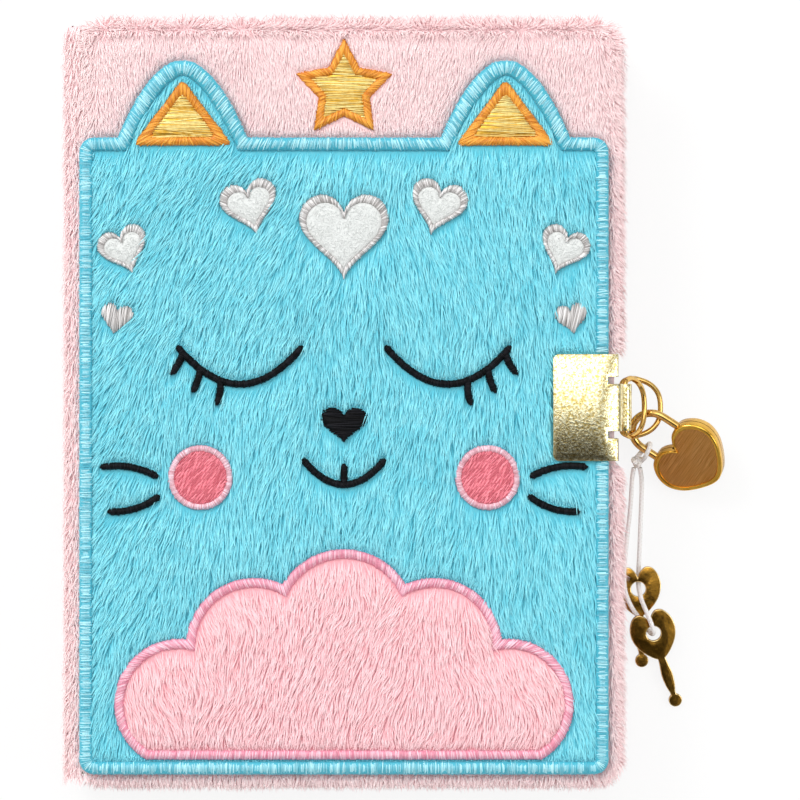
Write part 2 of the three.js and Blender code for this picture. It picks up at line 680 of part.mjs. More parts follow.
// A D-ring in its own plane: the bar along y and the bow to +x, closed by a butt joint in the bar.
function ringWire() {
  const { halfWidth, depth, corner, wire: radius } = RING;
  const joint = 0.1;
  const points = [[0, joint], [0, halfWidth * 0.5], [0, halfWidth - corner]];
  for (const turn of [80, 68, 54, 38, 20, 0, -20, -38, -54, -68, -80]) {
    const angle = THREE.MathUtils.degToRad(turn);
    points.push([depth * Math.cos(angle) ** 0.8, Math.sign(turn) * halfWidth * Math.abs(Math.sin(angle)) ** 0.8]);
  }
  points.push([0, corner - halfWidth], [0, -halfWidth * 0.5], [0, -joint]);
  const curve = new THREE.CatmullRomCurve3(points.map(([x, y]) => new THREE.Vector3(x, y, 0)), false, 'centripetal');
  return wire(curve, radius, 36);
}

function clasps(group) {
  const front = claspPlate(LEAF_TOP, Z.frontLeaf, FRONT_RING.z);
  piece(group, 'front_clasp_plate', front, material.gold);
  const back = claspPlate(0, Z.backLeaf + SHEET, BACK_RING.z);
  piece(group, 'back_clasp_plate', back, material.gold);
  for (const [name, { z, droop }] of [['front_ring', FRONT_RING], ['back_ring', BACK_RING]]) {
    const hung = new THREE.Group();
    hung.position.set(KNUCKLE.x, CLASP.middle, z);
    hung.rotation.y = THREE.MathUtils.degToRad(droop);
    piece(hung, name, ringWire(), material.gold);
    group.add(hung);
  }
}

// Padlock.

function caseOutline(inset = 0) {
  return placed(heart(CASE.width, CASE.length, inset, 30), 0, 0, 90);
}

function shackleSolid() {
  const { wire: radius, legs, bend, long, short } = SHACKLE;
  const point = (x, y) => new THREE.Vector3(x, y, 0);
  const points = [point(short, legs), point((short + bend) / 2, legs)];
  for (let turn = 90; turn <= 270; turn += 20) {
    const angle = THREE.MathUtils.degToRad(turn);
    points.push(point(bend + legs * Math.cos(angle), legs * Math.sin(angle)));
  }
  points.push(point((long + bend) / 2, -legs), point(long, -legs));
  const curve = new THREE.CatmullRomCurve3(points, false, 'centripetal');
  const inside = legs - radius;
  const notch = box(short - NOTCH.far, short - NOTCH.near, inside - 1, inside + NOTCH.depth, -3, 3);
  return wire(curve, radius, 32).subtract(notch);
}

function shackleBores() {
  const { legs, bore, long, short } = SHACKLE;
  return [[legs, short], [-legs, long]].map(([y, end]) => {
    const depth = end + 1 + 20;
    const geometry = new THREE.CylinderGeometry(bore, bore, depth, 16);
    geometry.rotateZ(Math.PI / 2);
    geometry.translate(end + 1 - depth / 2, y, 0);
    return solidOf(geometry);
  });
}

// The room for the latch, and the keyhole that opens it to the back.
function latchRoom() {
  const { half, tail, nose, travel } = LATCH;
  const outer = SHACKLE.short - NOTCH.far - GAP;
  const room = box(outer, 1.5, -tail - GAP, nose + travel + GAP, -half - GAP, half + GAP);
  const eye = new THREE.CylinderGeometry(1.1, 1.1, 4, 16);
  eye.rotateX(Math.PI / 2);
  eye.translate(0.2, 0, -2.5);
  const slit = box(0.2, 3.4, -0.55, 0.55, -5, -0.8);
  return [room, solidOf(eye), slit];
}

// The latch, drawn back by the turned key: its nose stands clear of the shackle's notch.
function latchSolid() {
  const { half, tail, inner, nose } = LATCH;
  const outer = SHACKLE.short - NOTCH.far + GAP;
  const bar = box(outer, inner, -tail, tail, -half, half);
  return bar.add(box(outer, SHACKLE.short - NOTCH.near - GAP, 0, nose, -half, half));
}

function padlock(group) {
  const { half, rim, inlay, bevel } = CASE;
  const turned = new THREE.Group();
  turned.position.set(LOCK.x, LOCK.y, LOCK.z);
  turned.rotation.z = THREE.MathUtils.degToRad(LOCK.turn);
  const tilted = new THREE.Group();
  tilted.rotation.x = THREE.MathUtils.degToRad(LOCK.tilt);
  turned.add(tilted);
  const tools = [...shackleBores(), ...latchRoom()];
  const face = slab(caseOutline(rim), half - inlay, half + 1);
  const seam = 0.15;
  const edge = half - bevel;
  const front = lofted(caseOutline, [[0, seam], [0, edge], [0.3 * bevel, edge + 0.7 * bevel], [bevel, half]]);
  const back = lofted(caseOutline, [[bevel, -half], [0.3 * bevel, -edge - 0.7 * bevel], [0, -edge], [0, -seam]]);
  piece(tilted, 'padlock_front_case', cut(front, [...tools, face]), material.bronzeGold);
  piece(tilted, 'padlock_back_case', cut(back, tools), material.bronzeGold);
  piece(tilted, 'padlock_latch', latchSolid(), material.keyGold);
  piece(tilted, 'shackle', shackleSolid(), material.gold);
  group.add(turned);
}

// Keys: a heart bow with a hole, a leaf-shaped shank and a round tip, in the key's own frame along +x.
function keySolid() {
  const { thick, bow, hole, length, neck, blade, waist, tip } = KEY;
  const half = thick / 2;
  const flat = (outline) => slab(outline, -half, half);
  const end = length - bow / 2 - tip;
  const edge = new THREE.SplineCurve(
    [[bow * 0.3, neck], [bow * 0.62, neck], [bow, blade], [bow * 1.25, blade * 0.8], [bow * 1.4, waist], [end, waist]]
      .map(([x, y]) => new THREE.Vector2(x, y)),
  ).getPoints(14);
  const shank = [...edge.map((p) => new THREE.Vector2(p.x, -p.y)), ...edge.reverse()];
  return joined([
    flat(placed(heart(bow, bow * 0.95), 0, 0, 90)),
    flat(shank),
    flat(placed(circle(tip, 16), end, 0)),
  ]).subtract(slab(circle(hole, 16), -5, 5));
}

function keys(group) {
  for (const [name, { x, y, z, turn, dip }] of [['rear_key', REAR_KEY], ['front_key', FRONT_KEY]]) {
    const turned = new THREE.Group();
    turned.position.set(x, y, z);
    turned.rotation.z = THREE.MathUtils.degToRad(turn);
    const dipped = new THREE.Group();
    dipped.rotation.y = THREE.MathUtils.degToRad(dip);
    piece(dipped, name, keySolid(), material.keyGold);
    turned.add(dipped);
    group.add(turned);
  }
}

// The small loop starts and ends at the knot and goes once round the shackle's leg.
function cordLoop() {
  const { along, reach, spread } = CORD_LOOP;
  const turn = THREE.MathUtils.degToRad(LOCK.turn);
  const tilt = THREE.MathUtils.degToRad(LOCK.tilt);
  const leg = new THREE.Vector3(Math.cos(turn), Math.sin(turn), 0);
  const across = new THREE.Vector3(-leg.y, leg.x, 0);
  const up = new THREE.Vector3(0, 0, 1);
  const middle = new THREE.Vector3(LOCK.x, LOCK.y, LOCK.z - SHACKLE.legs * Math.sin(tilt));
  middle.addScaledVector(leg, along).addScaledVector(across, -SHACKLE.legs * Math.cos(tilt));
  const knot = new THREE.Vector3(...KNOT);
  const points = [];
  for (let degrees = -130; degrees <= 155; degrees += 28.5) {
    const angle = THREE.MathUtils.degToRad(degrees);
    const point = middle.clone().addScaledVector(across, reach * Math.cos(angle));
    point.addScaledVector(up, reach * Math.sin(angle)).addScaledVector(leg, (spread * degrees) / 150);
    points.push(point);
  }
  const foot = (sign) => {
    const end = knot.clone().addScaledVector(leg, sign * spread);
    const away = middle.clone().sub(knot).setLength(CORD.knot + 0.15);
    return end.add(away);
  };
  return new THREE.CatmullRomCurve3([foot(-1), ...points, foot(1)], false, 'centripetal');
}

function cord(group) {
  const route = new THREE.CatmullRomCurve3(CORD_ROUTE.map((p) => new THREE.Vector3(...p)), false, 'centripetal');
  piece(group, 'key_cord', wire(route, CORD.radius, CORD.steps), material.cord);
  piece(group, 'cord_loop', wire(cordLoop(), CORD.radius, CORD.loopSteps), material.cord);
  const knot = new THREE.SphereGeometry(CORD.knot, 10, 8);
  knot.translate(...KNOT);
  piece(group, 'cord_knot', solidOf(knot), material.cord);
}

const diary = new THREE.Group();
diary.name = 'plush_diary';
backCover(diary);
spine(diary);
pages(diary);
frontCover(diary);
clasps(diary);
padlock(diary);
keys(diary);
cord(diary);

export default diary;
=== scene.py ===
"""Looks of a plush diary with a heart padlock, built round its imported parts.
Metres, in the same frame as the parts.
"""

import bmesh
import bpy
import numpy as np
from mathutils import Matrix, Vector, geometry, noise


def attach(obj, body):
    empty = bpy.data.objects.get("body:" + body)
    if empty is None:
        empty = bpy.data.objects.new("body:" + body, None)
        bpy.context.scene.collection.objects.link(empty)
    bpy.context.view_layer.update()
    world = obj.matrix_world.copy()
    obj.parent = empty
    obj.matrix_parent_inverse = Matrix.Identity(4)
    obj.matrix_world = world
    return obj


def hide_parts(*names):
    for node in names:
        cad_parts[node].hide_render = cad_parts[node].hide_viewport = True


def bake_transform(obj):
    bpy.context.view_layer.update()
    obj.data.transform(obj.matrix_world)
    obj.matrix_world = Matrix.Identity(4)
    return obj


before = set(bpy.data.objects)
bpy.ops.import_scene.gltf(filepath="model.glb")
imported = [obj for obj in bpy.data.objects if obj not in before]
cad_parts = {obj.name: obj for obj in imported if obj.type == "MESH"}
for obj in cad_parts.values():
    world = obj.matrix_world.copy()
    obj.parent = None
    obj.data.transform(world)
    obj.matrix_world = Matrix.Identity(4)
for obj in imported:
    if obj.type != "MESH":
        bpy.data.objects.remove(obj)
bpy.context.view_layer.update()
scene = bpy.context.scene

# Camera, light and table. The diary is photographed from straight above on white,
# with a large soft lamp at the upper left, and the brass reflects it.
MM = 0.001


def colour(code):
    """An sRGB hex value as linear red, green, blue and alpha."""
    values = [int(code[i : i + 2], 16) / 255 for i in (1, 3, 5)]
    return [v / 12.92 if v <= 0.04045 else ((v + 0.055) / 1.055) ** 2.4 for v in values] + [1.0]


def feed(node, inputs):
    """Sets a node's inputs from values, hex colours, sockets or nodes (their factor or first output)."""
    for name, value in inputs.items():
        if isinstance(value, bpy.types.Node):
            value = value.outputs.get("Fac") or next(out for out in value.outputs if out.enabled)
        if isinstance(value, bpy.types.NodeSocket):
            node.id_data.links.new(value, node.inputs[name])
        else:
            hexed = isinstance(value, str) and value.startswith("#")
            node.inputs[name].default_value = colour(value) if hexed else value


def add(tree, kind, inputs=None, **settings):
    """Adds a node with its settings and inputs."""
    made = tree.nodes.new(kind)
    for name, value in settings.items():
        setattr(made, name, value)
    feed(made, inputs or {})
    return made


def piece_from(name, vertices, faces, materials=(), matrix=None):
    """A new piece from points in metres, or in a matrix's own measure."""
    data = bpy.data.meshes.new(name)
    data.from_pydata(vertices, [], faces)
    for material in materials:
        data.materials.append(material)
    if matrix is not None:
        data.transform(matrix)
    made = bpy.data.objects.new(name, data)
    scene.collection.objects.link(made)
    return made


camera = bpy.data.objects.new("overhead_camera", bpy.data.cameras.new("overhead_camera"))
camera.location = (0.0147, 0.0006, 1.133)
camera.data.lens = 178
camera.data.clip_start = 0.01
scene.collection.objects.link(camera)
scene.camera = camera
scene.view_settings.view_transform = "Standard"

world = bpy.data.worlds.new("studio")
scene.world = world
world.use_nodes = True
sky = world.node_tree
sky.nodes.clear()
look = add(sky, "ShaderNodeTexCoord").outputs["Generated"]
lights = []
for aim, near, far, low, high in (
    ((-0.25, 0.72, 0.65), 0.35, 0.95, 0.5, 1.0),  # the lit side of the room, at the upper left
    ((0.0, 0.3, 0.954), 0.93, 0.985, 1.0, 3.2),  # a bright card behind the camera, towards the head
    ((0.0, -0.44, 0.898), 0.915, 0.965, 1.0, 0.1),  # the camera's dark side, towards the foot
    ((0.0, 0.0, 1.0), 0.02, 0.42, 0.2, 1.0),  # dark walls just above the table
):
    facing = add(sky, "ShaderNodeVectorMath", {0: look, 1: aim}, operation="DOT_PRODUCT")
    limits = {"Value": facing, "From Min": near, "From Max": far, "To Min": low, "To Max": high}
    lights.append(add(sky, "ShaderNodeMapRange", limits, interpolation_type="SMOOTHSTEP"))
path = add(sky, "ShaderNodeLightPath").outputs
# The walls act on reflections alone, where they give the wires dark edges.
lights[3] = add(sky, "ShaderNodeMix", {0: path["Is Glossy Ray"], 2: 1.0, 3: lights[3]}, data_type="FLOAT")
glow = lights[0]
for light in lights[1:]:
    glow = add(sky, "ShaderNodeMath", {0: glow, 1: light}, operation="MULTIPLY")
seen = add(
    sky, "ShaderNodeMath", {0: path["Is Camera Ray"], 1: path["Is Transmission Ray"]}, operation="MAXIMUM"
)
lamp_light = add(sky, "ShaderNodeBackground", {"Color": (1, 1, 1, 1), "Strength": glow})
white = add(sky, "ShaderNodeBackground", {"Color": (1, 1, 1, 1), "Strength": 1.0})
both = add(sky, "ShaderNodeMixShader", {0: seen, 1: lamp_light, 2: white})
add(sky, "ShaderNodeOutputWorld", {"Surface": both})

for name, place, width, watts in (
    ("upper_left_softbox", (-0.75, 0.85, 1.0), 0.6, 11),
    ("right_fill", (0.9, -0.1, 0.8), 0.5, 3.2),
):
    light = bpy.data.lights.new(name, "AREA")
    light.shape = "SQUARE"
    light.size = width
    light.energy = watts
    lamp = bpy.data.objects.new(name, light)
    lamp.location = place
    lamp.rotation_euler = (Vector((0.02, 0, 0)) - Vector(place)).to_track_quat("-Z", "Y").to_euler()
    scene.collection.objects.link(lamp)

sweep = bpy.data.materials.new("white_paper_sweep")
sweep.use_nodes = True
tree = sweep.node_tree
tree.nodes.clear()
seen = add(tree, "ShaderNodeLightPath").outputs["Is Camera Ray"]
shown = add(tree, "ShaderNodeMath", {0: seen, 1: 0.86}, operation="MULTIPLY")
lit = add(tree, "ShaderNodeBsdfDiffuse", {"Color": "#f7f7f6"})
glowing = add(tree, "ShaderNodeEmission", {"Color": (1, 1, 1, 1), "Strength": 1.0})
mixed = add(tree, "ShaderNodeMixShader", {0: shown, 1: lit, 2: glowing})
add(tree, "ShaderNodeOutputMaterial", {"Surface": mixed})
corners = [(-3, -3, 0), (3, -3, 0), (3, 3, 0), (-3, 3, 0)]
piece_from("table_top", corners, [(0, 1, 2, 3)], [sweep])

# Cord: one length of white round braid, 1.3 mm thick, limp. It goes once round the shackle's leg,
# is knotted, and runs down to both keys and back to the knot.


def finish(name, **values):
    """A material with one Principled shader, its constant values set on the shader's own sockets."""
    material = bpy.data.materials.new(name)
    material.use_nodes = True
    tree = material.node_tree
    tree.nodes.clear()
    shader = add(tree, "ShaderNodeBsdfPrincipled", {k.replace("_", " "): v for k, v in values.items()})
    add(tree, "ShaderNodeOutputMaterial", {"Surface": shader})
    return material, tree, shader


def dress(shader, share, dark, light, relief=None, strength=0.0, depth=0.0):
    """Gives a shader its colour between two, and a relief."""
    tree = shader.id_data
    feed(shader, {"Base Color": add(tree, "ShaderNodeMix", {0: share, 6: dark, 7: light}, data_type="RGBA")})
    if relief:
        bump = add(tree, "ShaderNodeBump", {"Height": relief, "Strength": strength, "Distance": depth})
        feed(shader, {"Normal": bump})


def mesh_object(name, vertices, faces, material, uv=None):
    """A smooth piece from points in millimetres, with its UV map given for each face corner."""
    made = piece_from(name, [tuple(c * MM for c in v) for v in vertices], faces, [material])
    if uv is not None:
        made.data.uv_layers.new(name="UVMap").data.foreach_set("uv", np.asarray(uv, np.float32).ravel())
    made.data.shade_smooth()
    return made


def fit(piece, body, slot, *nodes):
    """Puts a piece on its body, in place of the parts' own solids where it stands for them."""
    if nodes:
        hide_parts(*nodes)
    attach(piece, body)
    return piece


def unit(vectors):
    return vectors / np.maximum(np.linalg.norm(vectors, axis=-1, keepdims=True), 1e-9)


def run(line):
    """How far along a line each of its points lies."""
    return np.concatenate([[0], np.cumsum(np.linalg.norm(np.diff(line, axis=0), axis=1))])


def at_places(line, along, places):
    """The points at some places along a line."""
    return np.stack([np.interp(places, along, row) for row in np.transpose(line)], -1)


def through(points, steps):
    """A centripetal Catmull-Rom curve through points, as the parts' wires follow, in even steps."""
    p = np.asarray(points, float)
    p = np.vstack([2 * p[0] - p[1], p, 2 * p[-1] - p[-2]])
    fine = []
    for a, b, c, d in zip(p, p[1:], p[2:], p[3:]):
        t = np.cumsum([0] + [max(np.linalg.norm(v) ** 0.5, 1e-6) for v in (b - a, c - b, d - c)])
        for s in np.linspace(t[1], t[2], 24, endpoint=False):
            ab, bc, cd = (
                (x * (t1 - s) + y * (s - t0)) / (t1 - t0)
                for x, y, t0, t1 in ((a, b, t[0], t[1]), (b, c, t[1], t[2]), (c, d, t[2], t[3]))
            )
            abc = (ab * (t[2] - s) + bc * (s - t[0])) / (t[2] - t[0])
            bcd = (bc * (t[3] - s) + cd * (s - t[1])) / (t[3] - t[1])
            fine.append((abc * (t[2] - s) + bcd * (s - t[1])) / (t[2] - t[1]))
    fine = np.array(fine + [p[-2]])
    along = run(fine)
    return at_places(fine, along, np.linspace(0, along[-1], steps + 1))


def skin(levels, count, ring=True, loop=False):
    """The faces between levels of points. A level may be a ring, and the last may join the first."""
    pairs = [(level * count, (level + 1) % levels * count) for level in range(levels if loop else levels - 1)]
    sides = [(i, (i + 1) % count) for i in range(count if ring else count - 1)]
    return [(a + i, a + j, b + j, b + i) for a, b in pairs for i, j in sides]


def wire(name, line, radius, sides, material, closed=False):
    """A round wire or cord along a line. Its UV runs along it in millimetres and once round it."""
    count = len(line)
    tangents = unit(np.roll(line, -1, 0) - np.roll(line, 1, 0) if closed else np.gradient(line, axis=0))
    side = np.cross(tangents[0], (0.31, 0.2, 0.93))
    turn = np.linspace(0, 2 * np.pi, sides, endpoint=False)[:, None]
    vertices = []
    for point, tangent, thick in zip(line, tangents, np.broadcast_to(radius, count)):
        side = unit(side - tangent * side.dot(tangent))
        vertices += list(point + thick * (side * np.cos(turn) + np.cross(tangent, side) * np.sin(turn)))
    along = run(np.vstack([line, line[:1]]))
    uv = []
    for v0, v1 in zip(along, along[1:] if closed else along[1:-1]):
        for k in range(sides):
            uv += [(v0, k / sides), (v0, (k + 1) / sides), (v1, (k + 1) / sides), (v1, k / sides)]
    faces = skin(count, sides, loop=closed)
    if not closed:
        faces += [tuple(range(sides))[::-1], tuple(range((count - 1) * sides, count * sides))]
        uv += [(0, 0.5)] * sides + [(along[-2], 0.5)] * sides
    return mesh_object(name, vertices, faces, material, uv)


# Polyester braid: matt, slightly off-white, with fine ribs that cross.
braid, tree, shader = finish("white_polyester_braid", Roughness=0.85, Sheen_Weight=0.25, IOR=1.5)
place = add(tree, "ShaderNodeUVMap")
ribs = []
for slope in (1.612, -1.612):
    slanted = add(tree, "ShaderNodeMapping", {"Vector": place, "Scale": (1.0, slope, 1.0)})
    waves = {"Vector": slanted, "Scale": 0.62, "Distortion": 0.0}
    ribs.append(add(tree, "ShaderNodeTexWave", waves, bands_direction="DIAGONAL"))
weave = add(tree, "ShaderNodeMath", {0: ribs[0], 1: ribs[1]}, operation="MAXIMUM")
dress(shader, weave, "#f6f5f2", "#ffffff", weave, strength=0.3, depth=0.00008)

CORD_RADIUS = 0.65
CORD_ROUTE = [
    (83.3, -18.8, 1.8), (83.8, -21.5, 0.85), (83.9, -25, 0.7),
    (83.6, -34, 0.7), (83.3, -42, 0.7), (83, -48, 0.7),
    (82.9, -51.1, 0.72), (82.95, -52.4, 1.3), (83, -53.5, 2.3), (83.2, -54.6, 3.3), (83.6, -56.4, 4.3),
    (84.5, -58.8, 6.2), (85.4, -61, 7.4), (86.4, -63.7, 7.5), (87, -65.7, 5.7), (86.5, -66.1, 3.9),
    (85.4, -64.9, 3.05), (83.4, -62.2, 3.2), (80.8, -58.5, 4), (79, -54, 4.15), (78.6, -49, 4.25),
    (78.8, -46, 3.7), (79.3, -42.5, 2), (79.8, -38, 0.8), (80.5, -32, 0.7), (81, -25, 0.7),
    (81.2, -21.5, 0.85), (81.6, -18.8, 1.8),
]
KNOT = np.array([82.5, -17, 2.7])
# The padlock's own axes: along the shackle's legs, across them, and out of the face.
LOCK_TURN, LOCK_TILT = np.radians(-32.5), np.radians(28.5)
LOCK_PLACE = np.array([97.9, -15.8, 8.15])
LOCK_ALONG = np.array([np.cos(LOCK_TURN), np.sin(LOCK_TURN), 0])
LOCK_LEVEL = np.array([-np.sin(LOCK_TURN), np.cos(LOCK_TURN), 0])
UPWARD = np.array([0.0, 0.0, 1.0])
LOCK_ACROSS = LOCK_LEVEL * np.cos(LOCK_TILT) + UPWARD * np.sin(LOCK_TILT)
LOCK_OUT = np.cross(LOCK_ALONG, LOCK_ACROSS)
LEGS = 5.9

route = through(CORD_ROUTE, 220)
long_loop = wire("cord_round_keys", route, CORD_RADIUS, 12, braid)

# The small loop's place on the leg, its radius, and how far its ends stand to each side.
LOOP_AT, LOOP_RADIUS, LOOP_SPREAD = 12.2, 2.1, 0.85
leg = LOCK_PLACE - LOOP_AT * LOCK_ALONG - LEGS * LOCK_ACROSS
small = []
for degrees in np.arange(-130, 156, 28.5):
    angle = np.radians(degrees)
    ring_point = leg + LOOP_RADIUS * (np.cos(angle) * LOCK_LEVEL + np.sin(angle) * UPWARD)
    small.append(ring_point + LOCK_ALONG * LOOP_SPREAD * degrees / 150)
foot, apart = unit(leg - KNOT), LOOP_SPREAD * LOCK_ALONG
small = [KNOT - apart + foot] + small + [KNOT + apart + foot]
short_loop = wire("cord_round_shackle", through(small, 60), CORD_RADIUS, 12, braid)

# The knot is pulled tight: the cord crosses itself three times in a ball under 4 mm wide.
turn = np.linspace(0, 2 * np.pi, 96, endpoint=False)
wide = 0.42 * np.array([np.sin(turn) + 2 * np.sin(2 * turn), np.cos(turn) - 2 * np.cos(2 * turn)])
tight = np.stack([*wide, -0.95 * np.sin(3 * turn)], 1)
knot = wire("cord_knot_ball", KNOT + tight, CORD_RADIUS * 0.98, 10, braid, closed=True)
fit(long_loop, "back_cover", "cord", "key_cord")
fit(knot, "padlock_shackle", "cord", "cord_knot")
fit(short_loop, "padlock_shackle", "cord", "cord_loop")

# Keys: blanked from 1.2 mm brass sheet, tumbled and lacquered in a dark antique gold.
# The bow is a heart with a hole, and the shank a leaf with a round tip.


def turned(points, degrees):
    angle = np.radians(degrees)
    return points @ np.array([[np.cos(angle), np.sin(angle)], [-np.sin(angle), np.cos(angle)]])


def prism(outline, low, high, matrix=None):
    """A block over a flat outline that runs counter-clockwise."""
    count = len(outline)
    rows = [(x, y, z) for z in (low, high) for x, y in outline]
    caps = [tuple(range(count))[::-1], tuple(range(count, 2 * count))]
    return piece_from("block", rows, skin(2, count) + caps, matrix=matrix)


def combined(piece, tools, operation):
    """Joins tools to a piece, or cuts them out of it."""
    for tool in tools:
        change = piece.modifiers.new("change", "BOOLEAN")
        change.object = tool
        change.solver = "EXACT"
        change.operation = operation


def rounded(piece, width, segments, degrees):
    """Rounds a piece's sharp edges off."""
    edge = piece.modifiers.new("edge", "BEVEL")
    edge.width = width
    edge.segments = segments
    edge.limit_method = "ANGLE"
    edge.angle_limit = np.radians(degrees)
    return edge


def settled(piece, tools=()):
    """Makes a piece's modifiers part of its mesh, and clears their tools away."""
    result = bpy.data.meshes.new_from_object(piece.evaluated_get(bpy.context.evaluated_depsgraph_get()))
    piece.modifiers.clear()
    piece.data = result
    for tool in tools:
        bpy.data.objects.remove(tool)
    return result


def mottled(name, dark, light, scale, detail, bump=None, rough=None, contrast=None, fine=0.5, **values):
    """A finish that wanders between two colours. Its relief and its roughness may wander with it."""
    material, tree, shader = finish(name, **values)
    place = add(tree, "ShaderNodeTexCoord").outputs["Object"]
    cloud = add(
        tree, "ShaderNodeTexNoise", {"Vector": place, "Scale": scale, "Detail": detail, "Roughness": fine}
    )
    share = cloud
    if contrast:
        share = add(
            tree, "ShaderNodeMapRange", {"Value": cloud, "From Min": contrast[0], "From Max": contrast[1]}
        )
    dress(shader, share, dark, light, bump and cloud, *(bump or ()))
    if rough:
        limits = {"Value": cloud, "To Min": rough[0], "To Max": rough[1]}
        feed(shader, {"Roughness": add(tree, "ShaderNodeMapRange", limits)})
    return material


# Antique gold lacquer over tumbled brass: dull, dented, with cloudy darker patches.
antique = mottled("antique_gold_on_brass", "#8d621c", "#cb9a42", 260.0, 4.0, rough=(0.12, 0.32), Metallic=1.0)
tree = antique.node_tree
place = add(tree, "ShaderNodeTexCoord").outputs["Object"]
dents = add(tree, "ShaderNodeTexNoise", {"Vector": place, "Scale": 330.0, "Detail": 3.0})
dented = add(tree, "ShaderNodeBump", {"Height": dents, "Strength": 0.5, "Distance": 0.0004})
feed(tree.nodes["Principled BSDF"], {"Normal": dented})

# At the edges a paler, glossier brass is painted on the bevels as a highlight.
bevel_highlight_brass = mottled("bevel_painted_highlight_brass", "#c9963f", "#fff0b8", 700.0, 3.0, Metallic=1.0, Roughness=0.2)

PLUMP_WIDTH, PLUMP_LENGTH = 22.0, 18.5
PLUMP_SIDE = [
    (0, 5.0), (1.1, 6.9), (3.9, 8.8), (7.4, 8.3), (10.2, 5.2), (11.0, 1.3),
    (9.5, -2.8), (6.2, -6.3), (2.9, -8.6), (1.1, -9.3), (0, -9.45),
]


def plump_heart(width, length):
    """A plump heart with a blunt tip, the tip towards +x."""
    side = through([(x, y, 0) for x, y in PLUMP_SIDE], 64)[:, :2] * (
        width / PLUMP_WIDTH, length / PLUMP_LENGTH
    )
    return turned(np.vstack([side[::-1], (side * (-1, 1))[1:-1]]), 90)


BOW, BOW_LENGTH, BOW_HOLE, KEY_LENGTH, KEY_THICK, KEY_BEVEL = 13.0, 14.4, 2.1, 29.0, 1.2, 0.24
NECK, BLADE, WAIST, TIP = 1.1, 1.6, 0.8, 1.9
tip_at = KEY_LENGTH - BOW / 2 - TIP
widths = [(0.3, NECK), (0.62, NECK), (1, BLADE), (1.25, BLADE * 0.8), (1.4, WAIST), (tip_at / BOW, WAIST)]
edge = through([(BOW * share, half, 0) for share, half in widths], 26)[:, :2]
turn = np.linspace(0, 2 * np.pi, 40, endpoint=False)
disc = np.stack([np.cos(turn), np.sin(turn)], 1)
for name, place_of_bow, turned_by, dip in (
    ("rear_key", (82.8, -53.4, 2.15), -87, 3.4),
    ("front_key", (87, -65.9, 4.9), -71.5, 9.6),
):
    turns = Matrix.Rotation(np.radians(turned_by), 4, "Z") @ Matrix.Rotation(np.radians(dip), 4, "Y")
    key = prism(plump_heart(BOW, BOW_LENGTH) + (0.6, 0), -KEY_THICK / 2, KEY_THICK / 2)
    key.name = name + "_blank"
    key.data.materials.append(antique)
    key.data.materials.append(bevel_highlight_brass)
    added = [np.vstack([edge * (1, -1), edge[::-1]]), disc * TIP + (tip_at, 0)]
    tools = [prism(outline, -KEY_THICK / 2, KEY_THICK / 2) for outline in added]
    tools.append(prism(disc * BOW_HOLE, -1.5 * KEY_THICK, 1.5 * KEY_THICK))
    combined(key, tools[:2], "UNION")
    combined(key, tools[2:], "DIFFERENCE")
    rim = rounded(key, KEY_BEVEL, 3, 50)
    # The bevels take the paler brass: a painted highlight along the key's edges.
    rim.material = 1
    rim.use_clamp_overlap = False
    settled(key, tools).transform(Matrix.Scale(MM, 4) @ Matrix.Translation(place_of_bow) @ turns)
    key.data.set_sharp_from_angle(angle=np.radians(35))
    fit(key, "back_cover", "key_metal", name)

# Shackle: 2.2 mm brass wire bent to a U, bright gold-plated. The long leg stays in the case,
# and the short leg has a notch that the latch catches.

# Bright gold plate on polished brass: a clean mirror, broken only by faint drawing lines.
bright = mottled(
    "bright_gold_plate", "#c8913c", "#f0cf80", 420.0, 3.0,
    bump=(0.15, 0.0001), rough=(0.08, 0.22), Metallic=1.0
)
LOCK_AXES = [[LOCK_ALONG[i], LOCK_ACROSS[i], LOCK_OUT[i], LOCK_PLACE[i]] for i in range(3)]
LOCK_FRAME = Matrix.Scale(MM, 4) @ Matrix(LOCK_AXES + [[0, 0, 0, 1]])


def lock_block(low, high):
    """A block between two corners, in the padlock's axes, for cutting."""
    (x0, y0, z0), (x1, y1, z1) = low, high
    return prism([(x0, y0), (x1, y0), (x1, y1), (x0, y1)], z0, z1, LOCK_FRAME)


SHORT_END, LONG_END, BEND_AT, SHACKLE_WIRE = -3.5, 1.5, -13.5, 1.1
bend = [(SHORT_END, LEGS), ((SHORT_END + BEND_AT) / 2, LEGS)]
bend += [(BEND_AT + LEGS * np.cos(a), LEGS * np.sin(a)) for a in np.radians(np.arange(90, 271, 12))]
bend += [((LONG_END + BEND_AT) / 2, -LEGS), (LONG_END, -LEGS)]
line = through([LOCK_PLACE + x * LOCK_ALONG + y * LOCK_ACROSS for x, y in bend], 110)
from_end = np.minimum(np.arange(111), np.arange(111)[::-1])
shackle = wire(
    "shackle_wire", line, SHACKLE_WIRE * np.where(from_end < 3, 0.72 + from_end * 0.09, 1.0), 24, bright
)
inside = LEGS - SHACKLE_WIRE
notch = lock_block((SHORT_END - 2.5, inside - 1, -3), (SHORT_END - 0.9, inside + 0.7, 3))
combined(shackle, [notch], "DIFFERENCE")
settled(shackle, [notch])
fit(shackle, "padlock_shackle", "gold_plate", "shackle")

# Padlock case: two halves drawn from brass sheet and pressed together, so a dark seam runs round the side.
# A rim stands round the heart-shaped face, which is brushed across in coarse lines.

